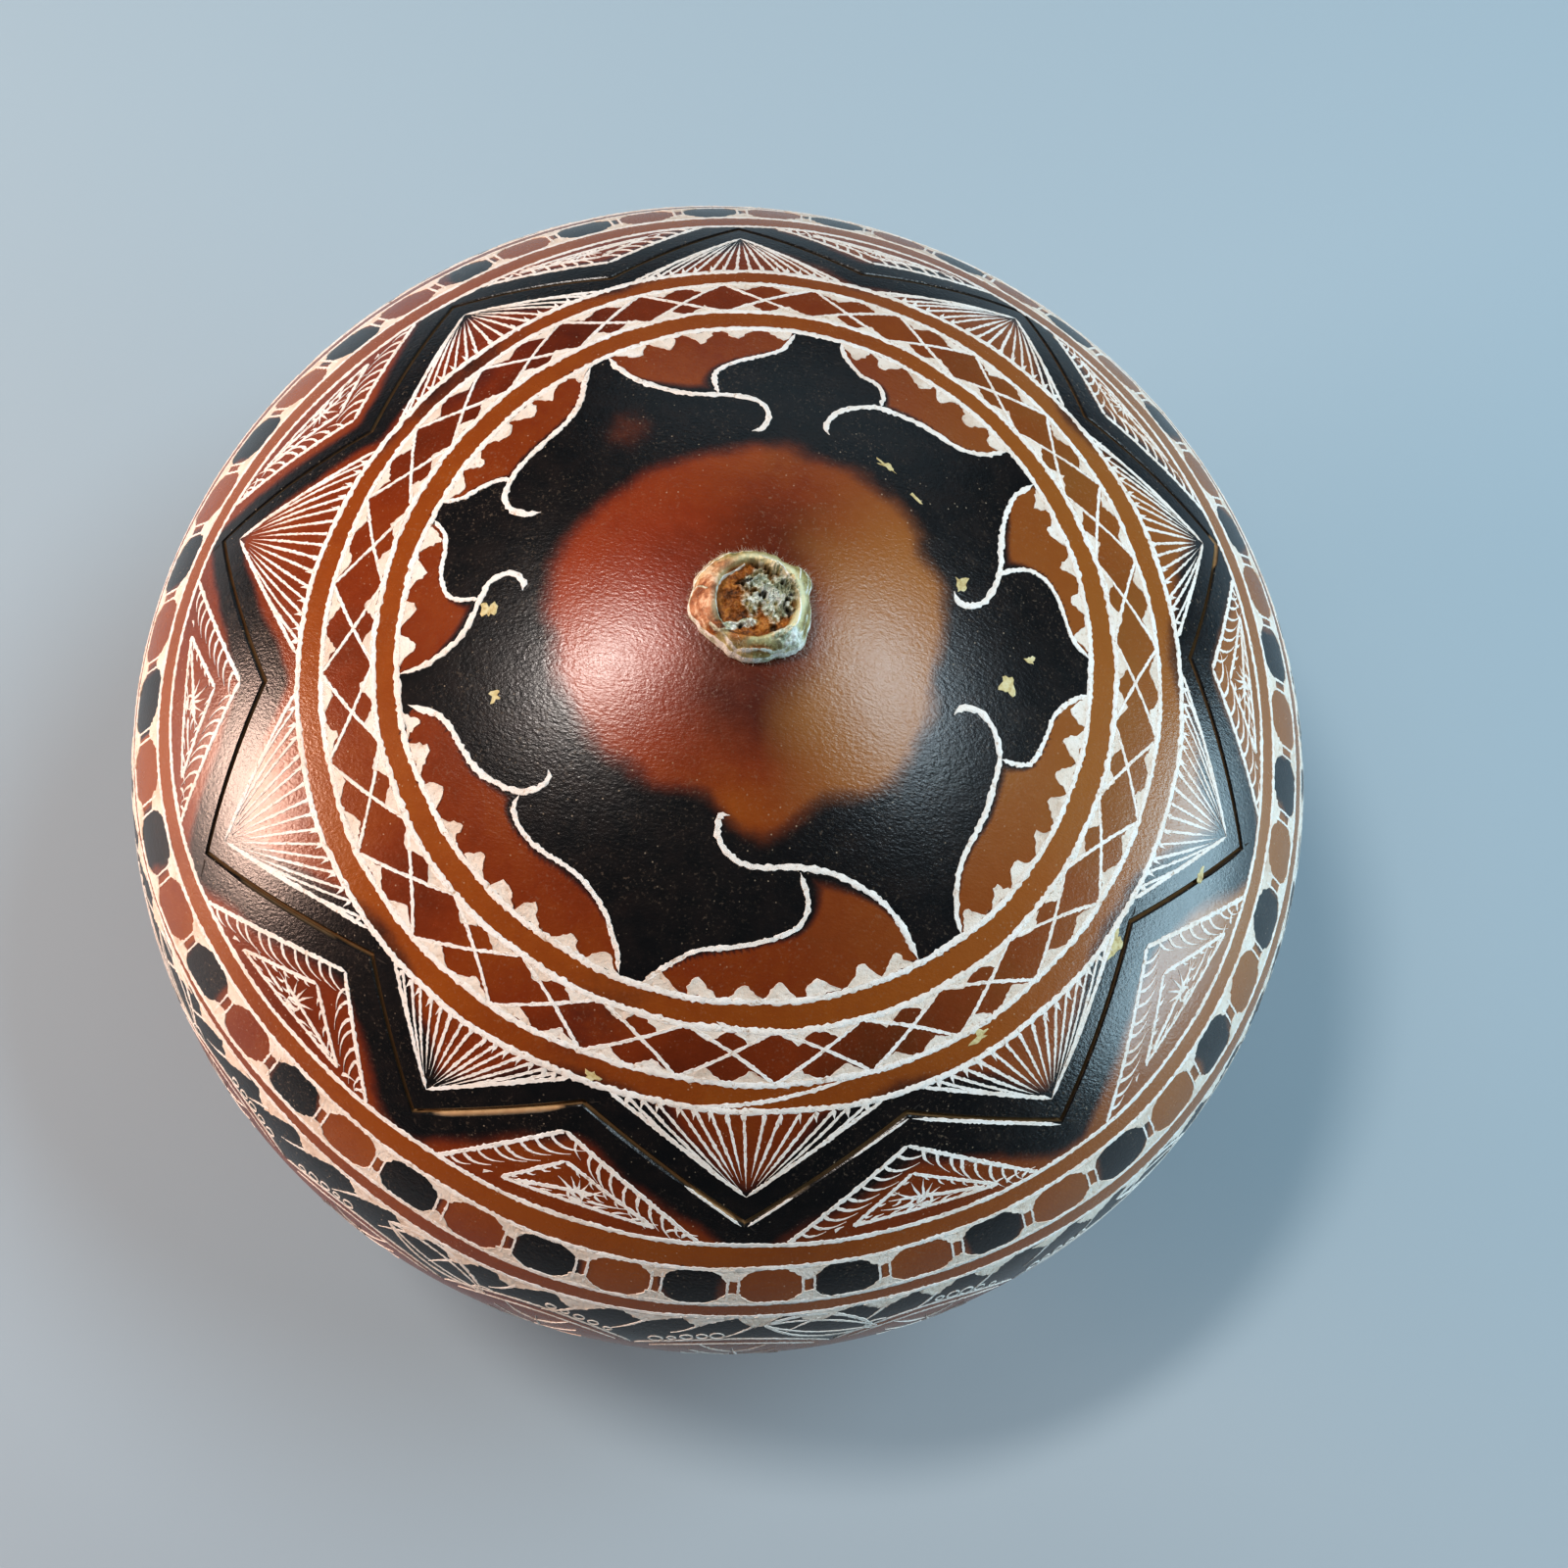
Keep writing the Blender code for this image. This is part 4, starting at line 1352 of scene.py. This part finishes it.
def stalkFoot(x, y):
    # height of the gourd's skin in mm under a place on the stalk
    spot = onStalk(x, y, 0 * x)
    away = np.hypot(spot[..., 0], spot[..., 1])
    return np.interp(away, outerSkin["r"][domeOnly], outerSkin["z"][domeOnly]) * 1000


def makeStem():
    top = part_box("stem_stub")[1][2] * 1000 - 0.10
    crown = float(onSkin(0.0, 0.0)[2]) * 1000
    turn = np.linspace(0, 2 * math.pi, stem["columns"], endpoint=False)
    rim = aroundGourd(stem["foot"], np.degrees(turn)) + 0.05 * np.sin(23 * turn) * np.sin(4 * turn)
    share = np.linspace(0, 1, stem["topRows"] + 1)[1:, None] ** 0.85
    x, y = share * rim * np.cos(turn), share * rim * np.sin(turn)
    spots = np.stack([x, y, 0 * x], -1).reshape(-1, 3)

    def rough(size, seed, stretch=(1, 1, 1)):
        return cloud(spots * stretch, size, seed).reshape(x.shape)

    def bump(name):
        middle, reach, sharp = stem["bumps"][name]
        return np.exp(-(((x - middle[0]) / reach[0]) ** 2 + ((y - middle[1]) / reach[1]) ** 2) ** (sharp / 2))

    fine, coarse, lumps, crumbs = rough(0.42, 81), rough(2.6, 82), rough(1.1, 83), rough(0.24, 84)
    part = stem["ridge"]
    away = np.hypot((x - part["middle"][0]) / part["reach"][0], (y - part["middle"][1]) / part["reach"][1])
    away = away + 0.03 * coarse + 0.008 * lumps
    inside = 1 - smoothStep(away, 0.80, 0.97)
    ridge = np.exp(-(((away - 1.0) / 0.10) ** 2))
    # the skirt drops from the ridge to the foot as (1 - u^1.8)^0.7, u being the way out to the foot
    out = np.clip((away - 1) / (away[-1] - 1), 0, 1)
    skirt = part["high"] * (1 - out**1.8) ** 0.7 + 0.16 * ridge
    drawn = np.stack([np.cos(turn) * 9 + 0 * x, np.sin(turn) * 9 + 0 * x, share * 2 + 0 * x], -1)
    streak = cloud(drawn.reshape(-1, 3), 1.1, 85).reshape(x.shape)
    height = skirt + 0.10 * coarse - stem["hollow"] * inside + 0.07 * streak * smoothStep(out, 0.1, 0.4)
    crust = bump("crust") * (1 - smoothStep(away, 0.92, 1.04))
    crust = np.clip(crust * (1 + 0.35 * lumps), 0, 1)
    spikes = (1 - np.abs(fine)).clip(0, 1) ** 1.5 + 0.55 * (1 - np.abs(crumbs)).clip(0, 1) ** 1.5
    height += crust * (0.15 + 0.62 * spikes + 0.22 * lumps)
    patch, crumb = bump("patch"), bump("crumb") + bump("leftCrumb")
    height += patch * (0.22 + 0.20 * fine + 0.10 * crumbs) + crumb * (0.55 + 0.30 * spikes)
    pouch, tongue, amber, berry = (bump(name) for name in ("pouch", "tongue", "amber", "berry"))
    height += 0.50 * pouch + 0.28 * tongue + 0.40 * amber + 0.30 * berry
    # pits sink into the crust, and the stalk's paint darkens them as painted shade
    pits = smoothStep(lumps - 0.2 * fine, 0.65, 1.15) * inside
    smooth = np.clip(pouch + amber + berry, 0, 1)
    height += (0.11 * fine + 0.06 * crumbs) * (0.30 + 0.70 * inside) * (1 - 0.75 * smooth) - 0.45 * pits
    folds = np.zeros_like(x)
    for edge in stem["edges"]:
        nearest = toOutline(spots[:, :2], throughPoints(edge, 5), closed=False)[0]
        folds = np.maximum(folds, np.exp(-((nearest.reshape(x.shape) + 0.03 * fine) / 0.10) ** 2))
    height += 0.20 * folds * (1 + 0.4 * lumps)
    height += smoothStep(share, 0.965, 0.99) * (0.16 + 0.12 * np.abs(fine))
    foot = stalkFoot(x, y)
    z = np.minimum(foot + height.clip(0.04), top - 0.03 * np.abs(fine))
    z = np.minimum(z, crown + part["high"] + 0.78)
    peach = np.clip(1.2 * bump("peach") * (1 - 0.5 * tongue) + 0.6 * bump("backPeach"), 0, 1)
    frayed = 0.8 * (share > 0.975) + 0 * x
    marks = {
        "rust": inside * (1 - crust) * (1 - crumb) + 0.75 * amber + berry + 0.7 * bump("rust"),
        "pale": np.maximum.reduce([crust * (0.8 + 0.3 * fine), 0.9 * patch, crumb, 0.85 * folds, frayed]),
        "peach": peach * (1 - inside),
        "ridge": ridge * (0.35 + 0.65 * smoothStep(x + 0.4 * y, -1.5, 2.5)) + 0.4 * patch + 0.7 * tongue,
        "pit": pits,
    }
    # a short torn edge tucks in under the rim
    tuck = np.linspace(0, 1, stem["edgeRows"] + 1)[1:, None]
    edgeX, edgeY = x[-1] * (1 - 0.03 * tuck), y[-1] * (1 - 0.03 * tuck)
    edgeZ = z[-1] * (1 - tuck) + (foot[-1] - 0.05) * tuck
    rows = onStalk(np.vstack([x, edgeX]), np.vstack([y, edgeY]), np.vstack([z, edgeZ]))
    peak = np.append(rows[0, :, :2].mean(0), rows[0, :, 2].mean())
    under = np.append(peak[:2], (crown - 0.06) * mm)
    verts = np.concatenate([peak[None], rows.reshape(-1, 3), under[None]])
    for name, values in marks.items():
        values = np.vstack([values, np.repeat(values[-1:], stem["edgeRows"], 0)])
        marks[name] = np.concatenate([[values[0].mean()], values.ravel(), [0]])
    faces = turnedFaces(len(rows), stem["columns"])
    stub = newPiece("stemStub", verts, faces, stalkMaterial, "lid", marks, sharp=80)
    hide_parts("stem_stub")
    return x, y, z


def makeStalkFibres(x, y, z):
    # fine hairs of dry fibre: three-sided, tapering, bent over as they leave the skirt's edge
    chance = np.random.default_rng(86)
    count = stalkFibres["count"]
    row = len(x) - 1 - (chance.random(count) ** 2 * 26).astype(int)
    column = chance.integers(0, x.shape[1], count)
    root = np.stack([x[row, column], y[row, column], z[row, column]], -1)
    way = root[:, :2] / np.linalg.norm(root[:, :2], axis=1)[:, None]
    swing = chance.normal(size=count) * 0.9
    way = np.stack([way[:, 0] * np.cos(swing) - way[:, 1] * np.sin(swing),
                    way[:, 0] * np.sin(swing) + way[:, 1] * np.cos(swing)], -1)
    long = chance.uniform(*stalkFibres["long"], count)[:, None]
    t = np.linspace(0, 1, 5)[None, :]
    rise, curl = chance.uniform(0.1, 0.9, count)[:, None], chance.normal(size=count)[:, None] * 0.45
    reach, climb, sideways = long * t, long * (rise * t - 0.35 * t**2), long * curl * t**2
    middle = np.stack([root[:, :1] + way[:, :1] * reach - way[:, 1:] * sideways,
                       root[:, 1:2] + way[:, 1:] * reach + way[:, :1] * sideways,
                       root[:, 2:] - 0.03 + climb], -1)
    middle[..., 2] = np.maximum(middle[..., 2], stalkFoot(middle[..., 0], middle[..., 1]) + 0.02)
    thick = stalkFibres["thick"] * (1 - 0.8 * t)
    corner = np.radians([90, 210, 330])
    across = np.stack([-way[:, 1], way[:, 0], 0 * swing], -1)[:, None, None, :]
    hairRims = (middle[:, :, None, :] + (thick[:, :, None] * np.cos(corner))[..., None] * across
                + (thick[:, :, None] * np.sin(corner))[..., None] * np.array([0, 0, 1.0]))
    points = hairRims.reshape(-1, 3)
    base = np.arange(count)[:, None, None] * 15 + np.arange(4)[None, :, None] * 3
    j = np.arange(3)[None, None, :]
    k = (j + 1) % 3
    quads = np.stack([base + j, base + k, base + 3 + k, base + 3 + j], -1).reshape(-1, 4).tolist()
    first = np.arange(count)[:, None] * 15
    caps = (first + np.array([2, 1, 0])).tolist() + (first + np.array([12, 13, 14])).tolist()
    points = onStalk(points[:, 0], points[:, 1], points[:, 2])
    hairs = newPiece("stalkFibres", points, quads + caps, fibreMaterial, "lid")


stalk = makeStem()
makeStalkFibres(*stalk)
print("stem made")

# -- seeds

seedShape = {"rows": 14, "columns": 24, "half": (0.0033, 0.0024, 0.0019)}


def makeSeeds():
    # a flattened egg with a narrower end and a shallow seam round it, one in each seed's place
    names = sorted(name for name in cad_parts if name.startswith("seed_"))
    chance = np.random.default_rng(91)
    up = np.linspace(0, math.pi, seedShape["rows"] + 2)[1:-1, None]
    round_ = np.linspace(0, 2 * math.pi, seedShape["columns"], endpoint=False)[None, :]
    for name in names:
        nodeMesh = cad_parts[name].data
        spots = np.empty(len(nodeMesh.vertices) * 3)
        nodeMesh.vertices.foreach_get("co", spots)
        spots = spots.reshape(-1, 3)
        middle = (spots.min(0) + spots.max(0)) / 2
        flatSpots = spots[:, :2] - middle[:2]
        far = flatSpots[np.argmax(np.linalg.norm(flatSpots, axis=1))]
        lean = math.atan2(far[1], far[0])
        half = np.array(seedShape["half"]) * chance.uniform(0.93, 0.99)
        x = np.cos(up) + 0 * round_
        y = np.sin(up) * np.cos(round_) * (1 + 0.18 * np.cos(up))
        z = np.sin(up) * np.sin(round_) * (1 - 0.10 * np.exp(-((np.sin(round_) / 0.18) ** 2)))
        ringPoints = np.stack([x, y, z], -1)
        ends = np.array([[1.0, 0, 0], [-1.0, 0, 0]])
        verts = np.concatenate([ends[:1], ringPoints.reshape(-1, 3), ends[1:]]) * half
        verts *= (1 + 0.03 * cloud(verts, 0.004, 92 + len(name) + int(name[-2:])))[:, None].clip(0.94, 1.0)
        spin = np.array([[math.cos(lean), -math.sin(lean)], [math.sin(lean), math.cos(lean)]])
        verts[:, :2] = verts[:, :2] @ spin.T
        verts = verts + middle
        faces = turnedFaces(seedShape["rows"], seedShape["columns"])
        seed = newPiece(name.replace("seed_", "drySeed"), verts, faces, seedMaterial, name)
        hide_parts(name)


makeSeeds()
print("seeds made")

# -- floor, lights and camera

studio = {
    "elevation": 74.1, "roll": 14.3, "distance": 3.23, "lens": 42.75, "aimDrop": 0.015,
    "shift": (0.0372, -0.0226), "floorHalf": 2.5, "floorHeight": -0.0002,
}


def makeFloor():
    half, low = studio["floorHalf"], studio["floorHeight"]
    points = np.array([(-half, -half, low), (half, -half, low), (half, half, low), (-half, half, low)])
    mesh = bpy.data.meshes.new("studioFloor")
    mesh.from_pydata(points.tolist(), [], [(0, 1, 2, 3)])
    mesh.materials.append(floorMaterial)
    floor = bpy.data.objects.new("studioFloor", mesh)
    bpy.context.scene.collection.objects.link(floor)


def softBox(name, place, target, size, spin, power, colour):
    data = bpy.data.lights.new(name, "AREA")
    data.shape = "ELLIPSE"
    data.size, data.size_y = size
    data.energy = power
    data.color = colour
    lamp = bpy.data.objects.new(name, data)
    bpy.context.scene.collection.objects.link(lamp)
    away = np.array(place) - np.array(target)
    away = away / np.linalg.norm(away)
    across = np.cross((0, 0, 1), away)
    across = across / np.linalg.norm(across)
    spin = math.radians(spin)
    across = math.cos(spin) * across - math.sin(spin) * np.cross(away, across)
    axes = (across, np.cross(away, across), away, place)
    lamp.matrix_world = Matrix([[axis[i] for axis in axes] for i in range(3)] + [(0, 0, 0, 1)])


def makeStudio():
    world = bpy.data.worlds.new("studioAir")
    world.use_nodes = True
    world.node_tree.nodes["Background"].inputs["Color"].default_value = (0.78, 0.88, 1.0, 1)
    world.node_tree.nodes["Background"].inputs["Strength"].default_value = 0.08
    scene = bpy.context.scene
    scene.world = world
    scene.view_settings.view_transform = "Standard"
    scene.view_settings.look = "Medium High Contrast"
    softBox("highLeft", (-0.290, 0.075, 0.70), (0, 0, 0.07), (0.17, 0.065), 28, 1.9, (1.0, 0.93, 0.88))
    softBox("highLeftHaze", (-0.320, 0.020, 0.70), (0, 0, 0.07), (0.32, 0.16), 28, 0.5, (1.0, 0.86, 0.78))
    softBox("lowLeft", (-0.48, -0.12, 0.12), (0, 0, 0.07), (0.22, 0.15), 0, 2.1, (1.0, 0.70, 0.57))
    softBox("highRight", (0.315, 0.19, 0.70), (0, 0, 0.06), (0.42, 0.17), 0, 2.1, (0.74, 0.90, 1.0))
    softBox("lowRight", (0.60, 0.02, 0.12), (0, 0, 0.06), (0.50, 0.22), 0, 2.3, (0.60, 0.86, 1.0))
    softBox("backWindow", (-0.05, 0.80, 0.50), (0, 0, 0.06), (0.90, 0.40), 0, 0.5, (0.62, 0.86, 1.0))


def makeCamera():
    data = bpy.data.cameras.new("viewer")
    data.lens = studio["lens"]
    data.sensor_width = 36.0
    data.shift_x, data.shift_y = studio["shift"]
    data.clip_start = 0.01
    camera = bpy.data.objects.new("viewer", data)
    bpy.context.scene.collection.objects.link(camera)
    lift, roll = math.radians(studio["elevation"]), math.radians(studio["roll"])
    back = np.array([0, -math.cos(lift), math.sin(lift)])
    right, up = np.array([1.0, 0, 0]), np.array([0, math.sin(lift), math.cos(lift)])
    x = math.cos(roll) * right + math.sin(roll) * up
    y = -math.sin(roll) * right + math.cos(roll) * up
    aim = np.array([0, 0, gourd["equator"] - studio["aimDrop"] * gourd["radius"]])
    place = aim + back * studio["distance"] * gourd["radius"]
    camera.matrix_world = Matrix([(x[i], y[i], back[i], place[i]) for i in range(3)] + [(0, 0, 0, 1)])
    bpy.context.scene.camera = camera


makeFloor()
makeStudio()
makeCamera()
print("studio set")
